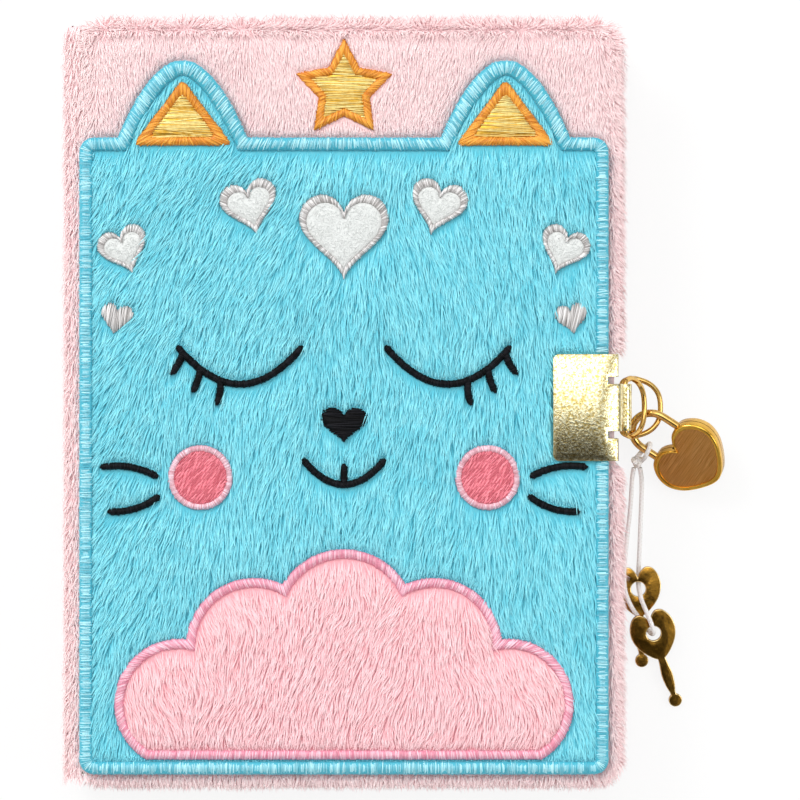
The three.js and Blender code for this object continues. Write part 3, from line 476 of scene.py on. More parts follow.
# Brushed bronze-gold: straight scratches 0.5 mm apart with finer ones between, which darken across.
brushed, tree, shader = finish("brushed_bronze_gold", Metallic=1.0, Roughness=0.34)
place = add(tree, "ShaderNodeUVMap")
streaks = []
for across, detail, fine in ((4.2, 5.0, 0.7), (0.25, 2.0, 0.5)):
    drawn = add(tree, "ShaderNodeMapping", {"Vector": place, "Scale": (across, 0.12, 1.0)})
    values = {"Vector": drawn, "Scale": 1.0, "Detail": detail, "Roughness": fine}
    streaks.append(add(tree, "ShaderNodeTexNoise", values))
contrast = add(tree, "ShaderNodeMapRange", {"Value": streaks[0], "From Min": 0.38, "From Max": 0.62})
scratches = add(tree, "ShaderNodeMix", {0: contrast, 6: "#935816", 7: "#f7c680"}, data_type="RGBA")
dress(shader, streaks[1], scratches, "#cb8f45", contrast, strength=0.6, depth=0.00008)

# The rim and sides are the same sheet, only polished.
polished = mottled(
    "polished_bronze_gold", "#c58a2a", "#f4c95a", 380.0, 4.0, bump=(0.2, 0.0001), Metallic=1.0, Roughness=0.2
)


def lofted(name, shape, levels, materials, matrix, face_slot=0):
    """A closed solid through a shape's outlines at insets and heights, from its underside to its top face."""
    vertices = [(x, y, z) for inset, z in levels for x, y in shape(inset)]
    count = len(vertices) // len(levels)
    caps = [tuple(range(count))[::-1], tuple(range(len(vertices) - count, len(vertices)))]
    made = piece_from(name, vertices, caps + skin(len(levels), count), materials, matrix)
    corners = [c for loop in made.data.loops for c in vertices[loop.vertex_index][:2]]
    made.data.uv_layers.new(name="UVMap").data.foreach_set("uv", corners)
    made.data.polygons[1].material_index = face_slot
    made.data.shade_smooth()
    made.data.set_sharp_from_angle(angle=np.radians(38))
    return made


def case_shape(inset):
    return plump_heart(PLUMP_WIDTH - 2 * inset, PLUMP_LENGTH - 2.3 * inset)


SEAM, HALF = 0.15, 2.7
front_levels = [
    (0, SEAM), (0, 2.1), (0.1, 2.4), (0.32, 2.62), (0.6, HALF), (1.0, HALF), (1.2, 2.62), (1.35, 2.25)
]
back_levels = [(0.6, -HALF), (0.32, -2.62), (0.1, -2.4), (0, -2.1), (0, -SEAM)]
latch_room = ((-6.3, -3.5, -1.1), (1.5, 5.5, 1.1))
keyhole = ((0.2, -0.55, -5), (3.4, 0.55, -0.8))
for name, levels, metals, holes in (
    ("padlock_front", front_levels, [polished, brushed], [latch_room]),
    ("padlock_back", back_levels, [polished], [latch_room, keyhole]),
):
    case = lofted(name, case_shape, levels, metals, LOCK_FRAME, face_slot=len(metals) - 1)
    tools = [lock_block(*hole) for hole in holes]
    combined(case, tools, "DIFFERENCE")
    settled(case, tools)
    fit(case, "padlock_body", "padlock_metal", name + "_case")
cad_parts["padlock_latch"].material_slots[0].material = antique

# D-rings: 1.5 mm brass wire bent round and butted in the middle of the bar, bright gold-plated.
# Each turns in the knuckle of its clasp plate.
BAR_X, BAR_Y, RING_HALF, RING_DEPTH, RING_CORNER, RING_WIRE = 78, -1.5, 8.3, 10.8, 1.2, 0.75
shape = [(0, 0.1), (0, RING_HALF * 0.5), (0, RING_HALF - RING_CORNER)]
for a in np.radians([80, 68, 54, 38, 20, 0, -20, -38, -54, -68, -80]):
    shape.append((RING_DEPTH * np.cos(a) ** 0.8, np.sign(a) * RING_HALF * abs(np.sin(a)) ** 0.8))
shape += [(0, RING_CORNER - RING_HALF), (0, -RING_HALF * 0.5), (0, -0.1)]
for node, body, bar_z, droop in (
    ("front_ring", "front_d_ring", 22.3, 57), ("back_ring", "back_d_ring", 8.3, 2.5)
):
    lean = np.radians(droop)
    points = [(BAR_X + x * np.cos(lean), BAR_Y + y, bar_z - x * np.sin(lean)) for x, y in shape]
    fit(wire(node + "_wire", through(points, 150), RING_WIRE, 20, bright), body, "gold_plate", node)

# Clasp plates: 0.7 mm brass blanked, grained with a shot blast and bent over the board's fore-edge.
# The tongue between the two outer strips is rolled round the ring's bar. The leaf is slightly crowned.

# Shot-blasted gold plate: a coarse sparkle on an even satin, partly from the grains' relief and partly
# painted into the colour as pale glints. The grains are drawn 0.6 mm wide to show.
grained = mottled(
    "grained_gold_plate_painted_glints",
    "#c4a953",
    "#fffbd8",
    scale=1600.0,
    detail=3.0,
    bump=(0.7, 0.0001),
    rough=(0.1, 0.24),
    contrast=(0.38, 0.62),
    fine=0.7,
    Metallic=1.0,
)
LEAF_RISE, LEAF_HALF, LEAF_END = 1.35, 14.9, 74.5
for node, body in (("front_clasp_plate", "front_cover"), ("back_clasp_plate", "back_cover")):
    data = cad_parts[node].data.copy()
    sheet = bmesh.new()
    sheet.from_mesh(data)
    bmesh.ops.remove_doubles(sheet, verts=sheet.verts, dist=1e-6)
    bmesh.ops.dissolve_limit(sheet, angle_limit=np.radians(1), verts=sheet.verts, edges=sheet.edges)
    # The sheet is divided into small fields, so that its leaf can be crowned.
    cuts = [((0, y * MM, 0), (0, 1, 0)) for y in np.linspace(-14.5, 11.5, 11)]
    cuts += [((x * MM, 0, 0), (1, 0, 0)) for x in np.arange(59.0, 74.0, 2.5)]
    for spot, facing in cuts:
        everything = sheet.verts[:] + sheet.edges[:] + sheet.faces[:]
        bmesh.ops.bisect_plane(sheet, geom=everything, plane_co=spot, plane_no=facing)
    if body == "front_cover":
        leaf_height = max(v.co.z for v in sheet.verts)
        for v in sheet.verts:
            if v.co.x < LEAF_END * MM and abs(v.co.z - leaf_height) < 0.9 * MM:
                v.co.z += LEAF_RISE * MM * (1 - ((v.co.y / MM - BAR_Y) / LEAF_HALF) ** 2)
    sheet.to_mesh(data)
    sheet.free()
    data.materials.clear()
    data.materials.append(grained)
    plate = bpy.data.objects.new(node + "_sheet", data)
    scene.collection.objects.link(plate)
    rounded(plate, 0.12 * MM, 2, 40)
    settled(plate)
    plate.data.shade_smooth()
    plate.data.set_sharp_from_angle(angle=np.radians(30))
    fit(plate, body, "gold_plate", node)

# Boards, papers, wadding and the block of pages. They are square-cut sheets, so the parts' own solids stay,
# and get the cut edges and fibres of grey board, paper and cloth.

# Grey board: pressed waste paper, with flecks.
board = mottled(
    "grey_board", "#8c8478", "#b9b1a4", 900.0, 5.0, bump=(0.3, 0.0001), Roughness=0.9, Specular_IOR_Level=0.2
)

# Uncoated paper in a trimmed block: the edges show the sheets, 0.35 mm apart because 0.1 mm is too fine.
pages, tree, shader = finish("trimmed_writing_paper", Roughness=0.85, Specular_IOR_Level=0.25)
place = add(tree, "ShaderNodeTexCoord").outputs["Object"]
squeezed = add(tree, "ShaderNodeMapping", {"Vector": place, "Scale": (30.0, 30.0, 2860.0)})
sheets = add(tree, "ShaderNodeTexNoise", {"Vector": squeezed, "Scale": 1.0, "Detail": 2.0})
BLOCK_MIDDLE, BLOCK_HALF_WIDTH, BLOCK_HALF_HEIGHT, CUT_DEPTH = 1.0, 70.0, 100.0, 0.05
spot = add(tree, "ShaderNodeSeparateXYZ", {0: place})
trimmed = []
for axis, middle, half in (("X", BLOCK_MIDDLE, BLOCK_HALF_WIDTH), ("Y", 0.0, BLOCK_HALF_HEIGHT)):
    away = add(tree, "ShaderNodeMath", {0: spot.outputs[axis], 1: middle * MM}, operation="SUBTRACT")
    size = add(tree, "ShaderNodeMath", {0: away}, operation="ABSOLUTE")
    trimmed.append(
        add(tree, "ShaderNodeMath", {0: size, 1: (half - CUT_DEPTH) * MM}, operation="GREATER_THAN")
    )
cut = add(tree, "ShaderNodeMath", {0: trimmed[0], 1: trimmed[1]}, operation="MAXIMUM")
fibres = add(tree, "ShaderNodeTexNoise", {"Vector": place, "Scale": 1500.0, "Detail": 4.0})
layers = add(tree, "ShaderNodeMix", {0: sheets, 6: "#c8c2b4", 7: "#f1ede3"}, data_type="RGBA")
leaf = add(tree, "ShaderNodeMix", {0: fibres, 6: "#e6e1d5", 7: "#eeeade"}, data_type="RGBA")
edges = add(tree, "ShaderNodeMath", {0: sheets, 1: cut}, operation="MULTIPLY")
dress(shader, cut, leaf, layers, edges, strength=0.5, depth=0.0002)

# Tinted endpaper: smooth, pale pink, with paper fibres.
tinted = mottled(
    "pink_endpaper", "#f2c3d1", "#f8d3dd", 1200.0, 4.0,
    bump=(0.15, 0.00005), Roughness=0.7, Specular_IOR_Level=0.3
)

# Mull and wadding: open cotton cloth over glue, and fluffy polyester felted flat.
soft_white, tree, shader = finish("cotton_mull_and_wadding", Roughness=0.95, Sheen_Weight=0.3)
place = add(tree, "ShaderNodeTexCoord").outputs["Object"]
waves = {"Vector": place, "Scale": 320.0, "Distortion": 1.5}
woven = add(tree, "ShaderNodeTexWave", waves, bands_direction="Y")
dress(shader, woven, "#d9d3c6", "#f2eee4", woven, strength=0.4, depth=0.0001)

for names, material in (
    (("back_board", "spine_board", "front_board"), board),
    (("lower_pages", "upper_pages"), pages),
    (("back_endpaper", "front_endpaper", "flyleaf"), tinted),
    (("spine_lining", "front_padding"), soft_white),
):
    for name in names:
        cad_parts[name].material_slots[0].material = material

# Back cover: pink knitted plush drawn round the grey board, turned in and glued inside it. The pile is short
# and soft, brushed towards the cover's foot, and it stands out round the edges. Under the diary it lies flat.
PLUSH_LEFT, PLUSH_RIGHT, PLUSH_HALF, PLUSH_CORNER = -75.0, 75.6, 105.6, 6.0
rng = np.random.default_rng(11)


def arc(x, y, radius, start, end, steps=8):
    """Points on an arc between two angles in degrees."""
    turn = np.radians(np.linspace(start, end, steps + 1))
    return np.stack([x + radius * np.cos(turn), y + radius * np.sin(turn)], 1)


def round_box(left, right, low, high, radius, steps=8):
    """A box's outline with round corners, counter-clockwise, from the arcs' own middles."""
    corners = ((right, low, -90), (right, high, 0), (left, high, 90), (left, low, 180))
    return np.vstack([arc(x, y, radius, start, start + 90, steps) for x, y, start in corners])


def cover_outline(inset):
    radius = max(PLUSH_CORNER - inset, 0.6)
    half = PLUSH_HALF - inset - radius
    return round_box(PLUSH_LEFT + inset + radius, PLUSH_RIGHT - inset - radius, -half, half, radius)


def rings_of(shape, insets, pitch):
    """A shape's outlines at several insets, point for point, with no gap between points over the pitch."""
    outlines = [np.asarray(shape(inset)) for inset in insets]
    gaps = np.linalg.norm(np.roll(outlines[-1], -1, 0) - outlines[-1], axis=1)
    counts = np.maximum(1, np.ceil(gaps / pitch).astype(int))
    rings = []
    for outline in outlines:
        after = np.roll(outline, -1, 0)
        rings.append(
            np.vstack([a + (b - a) * np.arange(n)[:, None] / n for a, b, n in zip(outline, after, counts)])
        )
    return rings


def within(points, polygon):
    """Whether each point lies inside a polygon, by counting the sides to its right."""
    x, y = points[:, 0, None], points[:, 1, None]
    a, b = polygon, np.roll(polygon, -1, 0)
    rise = np.where(b[:, 1] == a[:, 1], 1e-9, b[:, 1] - a[:, 1])
    crossed = ((a[:, 1] > y) != (b[:, 1] > y)) & (x < a[:, 0] + (y - a[:, 1]) * (b[:, 0] - a[:, 0]) / rise)
    return crossed.sum(1) % 2 == 1


def distance_to(points, polygon, closed=True):
    """Each point's distance from a line of points, in millimetres."""
    a, b = (polygon, np.roll(polygon, -1, 0)) if closed else (polygon[:-1], polygon[1:])
    side = b - a
    square = np.maximum((side**2).sum(1), 1e-12)
    nearest = []
    for part in np.array_split(points, max(1, len(points) // 1500)):
        t = np.clip(((part[:, None] - a) * side).sum(2) / square, 0, 1)
        nearest.append(np.linalg.norm(part[:, None] - a - t[..., None] * side, axis=2).min(1))
    return np.concatenate(nearest)


def close_packed(polygon, pitch):
    """A close-packed grid of points over a polygon's box."""
    low, high = polygon.min(0), polygon.max(0)
    rows, columns = np.arange(low[1], high[1], pitch * 0.866), np.arange(low[0], high[0], pitch)
    return np.array([(x + (i % 2) * pitch / 2, y) for i, y in enumerate(rows) for x in columns])


def sown(polygon, pitch):
    """Points strewn evenly inside a polygon, each knocked off its place in a grid."""
    grid = close_packed(polygon, pitch)
    grid += rng.uniform(-0.45, 0.45, grid.shape) * pitch
    return grid[within(grid, polygon)]


def pad(name, shape, levels, height, pitch, material):
    """A closed cloth pad: a flat face at its first level, its edge, and a face of the given height."""
    rings = rings_of(shape, [inset for inset, _ in levels], pitch)
    border, count = rings[-1], len(rings[0])
    grid = close_packed(border, pitch)
    grid = grid[within(grid, border)]
    grid = grid[distance_to(grid, border) > pitch * 0.45]
    flat = [Vector(p) for p in np.vstack([border, grid])]
    spots, _, inner, origin, _, _ = geometry.delaunay_2d_cdt(flat, [], [tuple(range(count))], 1, 1e-6)
    place = {}
    vertices = [(x, y, z) for ring, (_, z) in zip(rings, levels) for x, y in ring]
    heights = height(np.array([tuple(spot) for spot in spots]))
    for i, (spot, source) in enumerate(zip(spots, origin)):
        if source and source[0] < count:
            place[i] = (len(rings) - 1) * count + source[0]
        else:
            place[i] = len(vertices)
            vertices.append((spot.x, spot.y, float(heights[i])))
    faces = [tuple(place[i] for i in face) for face in inner]
    first = [Vector(p) for p in rings[0]]
    _, _, under, source, _, _ = geometry.delaunay_2d_cdt(first, [], [tuple(range(count))], 1, 1e-6)
    faces += [tuple(source[i][0] for i in reversed(face)) for face in under]
    faces += skin(len(rings), count)
    if levels[-1][1] < levels[0][1]:
        faces = [tuple(reversed(face)) for face in faces]
    return mesh_object(name, vertices, faces, material)


# Cut pile and threads are both one small shape on each of many points.
def shape_tree(name, sizes, sums, stem, tip, place, scale, lengthwise, facing_up):
    """A node tree that stands a stem, bent by sums, on each point, along its noted direction and up."""
    tree = bpy.data.node_groups.new(name, "GeometryNodeTree")
    for label, kind in [("Points", "Geometry"), *((size, "Float") for size in sizes), ("Yarn", "Material")]:
        tree.interface.new_socket(label, in_out="INPUT", socket_type="NodeSocket" + kind)
    tree.interface.new_socket("Shape", in_out="OUTPUT", socket_type="NodeSocketGeometry")
    given = add(tree, "NodeGroupInput").outputs
    spot = add(tree, "ShaderNodeSeparateXYZ", {0: add(tree, "GeometryNodeInputPosition")}).outputs
    known = {"x": spot["X"], "y": spot["Y"], "z": spot["Z"], **{size: given[size] for size in sizes}}
    for label, kind in (
        ("along", "FLOAT_VECTOR"), ("up", "FLOAT_VECTOR"), ("reach", "FLOAT"), ("thick", "FLOAT")
    ):
        known[label] = add(tree, "GeometryNodeInputNamedAttribute", {"Name": label}, data_type=kind)
    for result, operation, *values in sums:
        inputs = {i: known.get(value, value) for i, value in enumerate(values)}
        known[result] = add(tree, "ShaderNodeMath", inputs, operation=operation)
    note = {"Geometry": stem(tree, known), "Name": "tip", "Value": known[tip]}
    marked = add(tree, "GeometryNodeStoreNamedAttribute", note, data_type="FLOAT", domain="POINT")
    bent = add(tree, "ShaderNodeCombineXYZ", {axis: known[value] for axis, value in zip("XYZ", place)})
    fibre = add(tree, "GeometryNodeSetPosition", {"Geometry": marked, "Position": bent})
    aimed = add(tree, "FunctionNodeAlignRotationToVector", {"Vector": known["along"]}, axis=lengthwise)
    up = {"Rotation": aimed, "Vector": known["up"]}
    upright = add(tree, "FunctionNodeAlignRotationToVector", up, axis=facing_up, pivot_axis=lengthwise)
    size = add(tree, "ShaderNodeCombineXYZ", {axis: known[value] for axis, value in zip("XYZ", scale)})
    stand = {"Points": given["Points"], "Instance": fibre, "Rotation": upright, "Scale": size}
    real = add(
        tree, "GeometryNodeRealizeInstances", {"Geometry": add(tree, "GeometryNodeInstanceOnPoints", stand)}
    )
    dyed = add(tree, "GeometryNodeSetMaterial", {"Geometry": real, "Material": given["Yarn"]})
    add(tree, "NodeGroupOutput", {"Shape": dyed})
    return tree


def cone_of_fibre(tree, known):
    sizes = {"Vertices": 3, "Side Segments": 2, "Radius Top": 0.0, "Radius Bottom": 0.5, "Depth": 1.0}
    return add(tree, "GeometryNodeMeshCone", sizes, fill_type="NGON").outputs["Mesh"]


# Cut pile: on each root stands one bent three-sided fibre that thins to a point.
pile_tree = shape_tree(
    "cut pile",
    ("Length", "Thickness", "Flatness", "Arch"),
    (
        ("left over", "SUBTRACT", 1.0, "z"),
        ("half hump", "MULTIPLY", "z", "left over"),
        ("hump", "MULTIPLY", "half hump", 4.0),
        ("swell", "MULTIPLY_ADD", "hump", 0.75, 1.0),
        ("flat", "MULTIPLY", "Thickness", "Flatness"),
        ("bow", "DIVIDE", "Arch", "flat"),
        ("lift", "MULTIPLY", "hump", "bow"),
        ("bent x", "MULTIPLY_ADD", "x", "swell", "lift"),
        ("bent y", "MULTIPLY", "y", "swell"),
        ("wide", "MULTIPLY", "Thickness", "thick"),
        ("deep", "MULTIPLY", "wide", "Flatness"),
        ("long", "MULTIPLY", "Length", "reach"),
    ),
    cone_of_fibre,
    tip="z",
    place=("bent x", "bent y", "z"),
    scale=("deep", "wide", "long"),
    lengthwise="Z",
    facing_up="X",
)


def grown_on(name, tree, points, notes, values):
    """Runs a node tree on points that carry notes, and keeps the result as a plain mesh."""
    made = piece_from(name, [tuple(c * MM for c in p) for p in points], [])
    for label, numbers in notes.items():
        numbers = np.asarray(numbers, np.float32)
        kind, field = ("FLOAT_VECTOR", "vector") if numbers.ndim == 2 else ("FLOAT", "value")
        made.data.attributes.new(label, kind, "POINT").data.foreach_set(field, numbers.ravel())
    modifier = made.modifiers.new("made", "NODES")
    modifier.node_group = tree
    for socket in tree.interface.items_tree:
        if socket.in_out == "INPUT" and socket.name in values:
            modifier[socket.identifier] = values[socket.name]
    result = settled(made)
    for label in ("along", "up", "reach", "thick"):
        if label in result.attributes:
            result.attributes.remove(result.attributes[label])
    if tree is pile_tree:
        result.shade_flat()
    else:
        result.shade_smooth()
    return made


def pile(name, roots, up, nap, lean, length, thickness, yarn, arch, reach=1.0, shade=None):
    """Cut pile on roots: each fibre leans from the nap's direction towards the cloth's normal."""
    count = len(roots)
    up = np.broadcast_to(up, (count, 3))
    lean = np.radians(lean + rng.normal(0, 5, count))[:, None]
    nap = unit(nap + np.cross(up, nap) * rng.normal(0, 0.13, count)[:, None])
    along = nap * np.cos(lean) + up * np.sin(lean)
    notes = {
        "along": along,
        "up": up + along * 0.01,
        "reach": rng.uniform(0.75, 1.1, count) * reach,
        "thick": rng.uniform(0.8, 1.2, count),
        "shade": rng.uniform(0, 1, count) if shade is None else shade,
    }
    values = {
        "Length": length * MM, "Thickness": thickness * MM, "Flatness": 0.28, "Arch": arch * MM, "Yarn": yarn
    }
    return grown_on(name, pile_tree, roots, notes, values)


def pile_yarn(name, deep, middle, light):
    """Dyed polyester fibre: painted shade towards the roots between the fibres, pale at the tips, each lock a
    little different.
    """
    material, tree, shader = finish(name, Roughness=0.8, Sheen_Weight=0.1, Sheen_Roughness=0.5, IOR=1.5)
    tip = add(tree, "ShaderNodeAttribute", attribute_name="tip")
    lock = add(tree, "ShaderNodeAttribute", attribute_name="shade")
    place = add(tree, "ShaderNodeTexCoord").outputs["Object"]
    cloud = add(tree, "ShaderNodeTexNoise", {"Vector": place, "Scale": 45.0, "Detail": 2.0})
    ends = add(tree, "ShaderNodeMix", {0: lock, 6: middle, 7: light}, data_type="RGBA")
    patchy = add(tree, "ShaderNodeMapRange", {"Value": cloud, "From Min": 0.35, "From Max": 0.65})
    soft = add(tree, "ShaderNodeMix", {0: patchy, 6: ends, 7: light}, data_type="RGBA")
    even = add(tree, "ShaderNodeMix", {0: 0.7, 6: soft, 7: ends}, data_type="RGBA")
    # Towards the roots the colour goes to the deep one: painted shade between the fibres.
    depth = add(tree, "ShaderNodeMapRange", {"Value": tip, "From Min": 0.0, "From Max": 0.55})
    dress(shader, depth, deep, even)
    return material


def plush_ground(name, dark, pale):
    """The knitted ground that the pile stands on: matt, with rows of loops drawn 0.8 mm apart."""
    material, tree, shader = finish(name, Roughness=0.95, Sheen_Weight=0.2)
    place = add(tree, "ShaderNodeTexCoord").outputs["Object"]
    drawn = add(tree, "ShaderNodeMapping", {"Vector": place, "Scale": (1250.0, 380.0, 800.0)})
    loops = add(tree, "ShaderNodeTexNoise", {"Vector": drawn, "Scale": 1.0, "Detail": 3.0})
    dress(shader, loops, dark, pale, loops, strength=0.8, depth=0.0004)
    return material


def swirled(points, drift, swing, size):
    """The brushed direction at each point: towards the foot, drifting and swinging slowly over the cloth."""
    turn = np.array([noise.noise((x / size, y / size, 3.7)) for x, y in points[:, :2]])
    fine = np.array([noise.noise((x / 9, y / 9, 8.1)) for x, y in points[:, :2]])
    angle = np.radians(-90 + drift + swing * (turn + 0.6 * fine))
    return np.stack([np.cos(angle), np.sin(angle), np.zeros(len(points))], 1)


def swept(outward, spread):
    """The brushed direction on a side: towards the foot, each fibre astray, and flat on the cloth."""
    nap = (0.0, -1.0, 0.0) + rng.normal(0, spread, outward.shape)
    return unit(nap - outward * (nap * outward).sum(1)[:, None])


def round_edge(shape, levels, number):
    """Roots strewn over a pad's edge, with the outward direction at each."""
    rings = rings_of(shape, [inset for inset, _ in levels], 4)
    lengths = np.linalg.norm(np.roll(rings[0], -1, 0) - rings[0], axis=1)
    segment = rng.choice(len(lengths), number, p=lengths / lengths.sum())
    after = (segment + 1) % len(lengths)
    steps = np.array([np.hypot(b[0] - a[0], b[1] - a[1]) for a, b in zip(levels, levels[1:])])
    level = rng.choice(len(steps), number, p=steps / steps.sum())
    s, t = rng.uniform(0, 1, (2, number, 1))
    stack = np.array([[(x, y, z) for x, y in ring] for ring, (_, z) in zip(rings, levels)])
    low = stack[level, segment] * (1 - s) + stack[level, after] * s
    high = stack[level + 1, segment] * (1 - s) + stack[level + 1, after] * s
    outward = unit(np.cross(stack[level, after] - stack[level, segment], high - low))
    return low * (1 - t) + high * t, outward if levels[-1][1] > levels[0][1] else -outward


# The clasp plate clamps the cloth flat at the fore-edge.
CLASP_MIDDLE, CLASP_HALF, CLASP_LEFT = -1.5, 14.9, 57.3


def clamped(points):
    """Pushes the cloth in where the clasp plate folds over the fore-edge."""
    beside = np.clip((17.6 - np.abs(points[:, 1] - CLASP_MIDDLE)) / 2, 0, 1)
    points[:, 0] -= np.maximum(points[:, 0] - 74.6, 0) * beside
    return points


def clear_of_clasp(roots, margin=0.4):
    """Whether each root lies outside the clasp plate's place."""
    return (roots[:, 0] < CLASP_LEFT - margin) | (np.abs(roots[:, 1] - CLASP_MIDDLE) > CLASP_HALF + margin)


def moved(piece, change):
    """Applies a change to a piece's points, given and returned in millimetres."""
    data = piece.data
    points = np.empty(len(data.vertices) * 3, np.float32)
    data.vertices.foreach_get("co", points)
    data.vertices.foreach_set("co", (change(points.reshape(-1, 3) / MM) * MM).ravel())
    data.update()
    return piece


def above_table(points):
    """Bends fibres that would go through the table, so that they lie on it."""
    points[:, 2] = np.where(points[:, 2] < 0.6, 0.6 * np.exp((points[:, 2] - 0.6) / 0.6), points[:, 2])
    return points


def thinned_at_hinge(edge_z, outside):
    """Draws the cloth's wall back to one level along the spine, where there is no wall."""

    def change(points):
        near = np.clip((-71.0 - points[:, 0]) / 2.5, 0, 1)
        beyond = (points[:, 2] - edge_z) * outside < 0
        points[:, 2] = np.where(beyond, points[:, 2] + (edge_z - points[:, 2]) * 0.96 * near, points[:, 2])
        return points

    return change


pink_yarn = pile_yarn("pink_cut_pile", "#f8d3d6", "#fcdcde", "#feebea")
pink_ground = plush_ground("pink_knitted_ground", "#f6d3d5", "#fce1e2")


def edge_pile(name, body, levels, number, length, lean):
    """The pile round a cover's edge, standing out and swept towards the foot. The hinge strip has its own."""
    roots, outward = round_edge(cover_outline, levels, number)
    roots = clamped(roots)
    chosen = clear_of_clasp(roots, 1.2) & (roots[:, 0] > -72.5)
    roots, outward = roots[chosen], outward[chosen]
    tufts = pile(name, roots, outward, swept(outward, 0.35), lean, length, 0.36, pink_yarn, arch=0.4)
    fit(moved(tufts, above_table), body, "pink_plush")


BACK_FACE, LYING = 1.3, np.array([0.0, 0.0, -1.0])
back_cloth_levels = [
    (1.4, 3.4), (1.4, 6.45), (4.3, 6.45), (4.3, 6.9), (3.5, 7.1), (1.2, 7.1),
    (0.3, 6.7), (0, 5.6), (0, 3.2), (0.5, 2.1), (1.8, 1.5), (4, BACK_FACE),
]
cloth = pad(
    "back_cover_cloth", cover_outline, back_cloth_levels, lambda p: np.full(len(p), BACK_FACE), 5, pink_ground
)
moved(moved(cloth, thinned_at_hinge(3.4, -1)), clamped)
fit(cloth, "back_cover", "pink_plush", "back_plush")

flat_side = sown(cover_outline(1.5), 1.06)
flat_side = flat_side[clear_of_clasp(flat_side)]
for half, chosen in (("head", flat_side[:, 1] > 0), ("foot", flat_side[:, 1] <= 0)):
    roots = np.column_stack([flat_side[chosen], np.full(chosen.sum(), BACK_FACE)])
    tufts = pile(
        "back_pile_" + half, roots, LYING, swirled(roots, 0, 60, 40), 6, 4.2, 0.62, pink_yarn, arch=0.25
    )
    fit(moved(tufts, above_table), "back_cover", "pink_plush")
edge_pile("back_edge_pile", "back_cover", back_cloth_levels[5:], 15000, 4.2, 46)

# Spine: a strip of grey board inside a sleeve of the same plush. Two cloth hinges, one along each long edge,
# join it to the covers.
SPINE_OUTER, SPINE_INNER, SPINE_LOW, SPINE_HIGH = -78.6, -75.25, 4.3, 25.8


def spine_section(inset):
    radius = 1.6 - inset * 0.6
    off = inset + radius
    return round_box(SPINE_OUTER + off, SPINE_INNER - off, SPINE_LOW + off, SPINE_HIGH - off, radius, 4)


upright = Matrix.Scale(MM, 4) @ Matrix.Rotation(np.radians(90), 4, "X")
waves = [(0.08 * np.sin(y * 0.3), y) for y in np.arange(-102, 103, 6.0)]
spine_levels = [(0.9, -105.4), (0.25, -105.0), *waves, (0.25, 105.0), (0.9, 105.4)]
cloth = lofted("spine_sleeve", spine_section, spine_levels, [pink_ground], upright)
cloth.data.set_sharp_from_angle(angle=3.1)
fit(cloth, "spine", "pink_plush", "spine_plush")

SPINE_FIBRES = 12000
places = rng.uniform(0, 1, SPINE_FIBRES)
outline = spine_section(0)
outline = outline[outline[:, 0] < -76.2]
outline = outline[np.argsort(outline[:, 1])]
along = run(outline)
places *= along[-1]
(x, z), ahead = at_places(outline, along, places).T, at_places(outline, along, places + 0.3)
rise = ahead - at_places(outline, along, places - 0.3)
roots = np.stack([x, rng.uniform(-105.2, 105.2, SPINE_FIBRES), z], 1)
outward = unit(np.stack([-rise[:, 1], np.zeros(SPINE_FIBRES), rise[:, 0]], 1))
reach = np.clip(np.minimum(SPINE_HIGH - z, z - SPINE_LOW) / 5, 0.3, 1)
tufts = pile(
    "spine_pile", roots, outward, swept(outward, 0.25), 22, 4.2, 0.42, pink_yarn, arch=0.4, reach=reach
)
fit(moved(tufts, above_table), "spine", "pink_plush")

# Front cover: a grey board and a sheet of wadding inside the same pink plush, drawn round the edges,
# turned in and glued. The pile shows above the big patch and as a soft border round it.
PANEL_MIDDLE, PANEL_HALF, PANEL_TOP, PANEL_BOTTOM = -0.9, 73.7, 73.7, -103.7
EAR_APART, EAR_HALF, EAR_HEIGHT, EAR_TIP = 45.0, 18.0, 21.0, 3.2


def bezier(a, b, c, steps=8):
    """Points on a quadratic curve from a to c that leans to b, without its first point."""
    t = np.linspace(0, 1, steps + 1)[1:, None]
    return (1 - t) ** 2 * np.array(a) + 2 * t * (1 - t) * np.array(b) + t**2 * np.array(c)


def panel_outline(inset):
    left, right = PANEL_MIDDLE - PANEL_HALF + inset, PANEL_MIDDLE + PANEL_HALF - inset
    top, bottom = PANEL_TOP - inset, PANEL_BOTTOM + inset
    corner = max(0.5, 4 - inset)
    foot, bulge = EAR_HALF - 0.67 * inset, EAR_HALF * 0.62 - inset
    shoulder = top + EAR_HEIGHT * 0.8 + 0.2 * inset
    peak, tip = PANEL_TOP + EAR_HEIGHT - 1.1 * inset, max(1, EAR_TIP - 0.5 * inset)
    corners = np.split(round_box(left + corner, right - corner, bottom + corner, top - corner, corner), 4)
    ears = []
    for x in (PANEL_MIDDLE + EAR_APART, PANEL_MIDDLE - EAR_APART):
        ears.append(np.array([(x + foot, top)]))
        ears.append(bezier((x + foot, top), (x + bulge, shoulder), (x + tip, peak)))
        ears.append(bezier((x + tip, peak), (x, peak + 0.9), (x - tip, peak)))
        ears.append(bezier((x - tip, peak), (x - bulge, shoulder), (x - foot, top)))
    return np.vstack(corners[:2] + ears + corners[2:])


def cover_height(points):
    """The front cloth's height: pressed flat under the big patch, and rising away from its sewn edge."""
    edge = panel_outline(0)
    away = np.where(within(points, edge), 0, distance_to(points, edge))
    inside = distance_to(points, cover_outline(0))
    return 28.35 + 0.9 * (1 - np.exp(-away / 3)) * np.clip(inside / 6, 0, 1)


front_cloth_levels = [
    (1.4, 26.75), (1.4, 21.35), (4.3, 21.35), (4.3, 20.9), (3.5, 20.7), (1.2, 20.7),
    (0.3, 21.1), (0, 22.2), (0, 25.6), (0.5, 27.0), (1.4, 27.9), (2.6, 28.3),
]
cloth = pad("front_cover_cloth", cover_outline, front_cloth_levels, cover_height, 3.4, pink_ground)
moved(moved(cloth, thinned_at_hinge(26.7, 1)), clamped)
fit(cloth, "front_cover", "pink_plush", "front_plush")
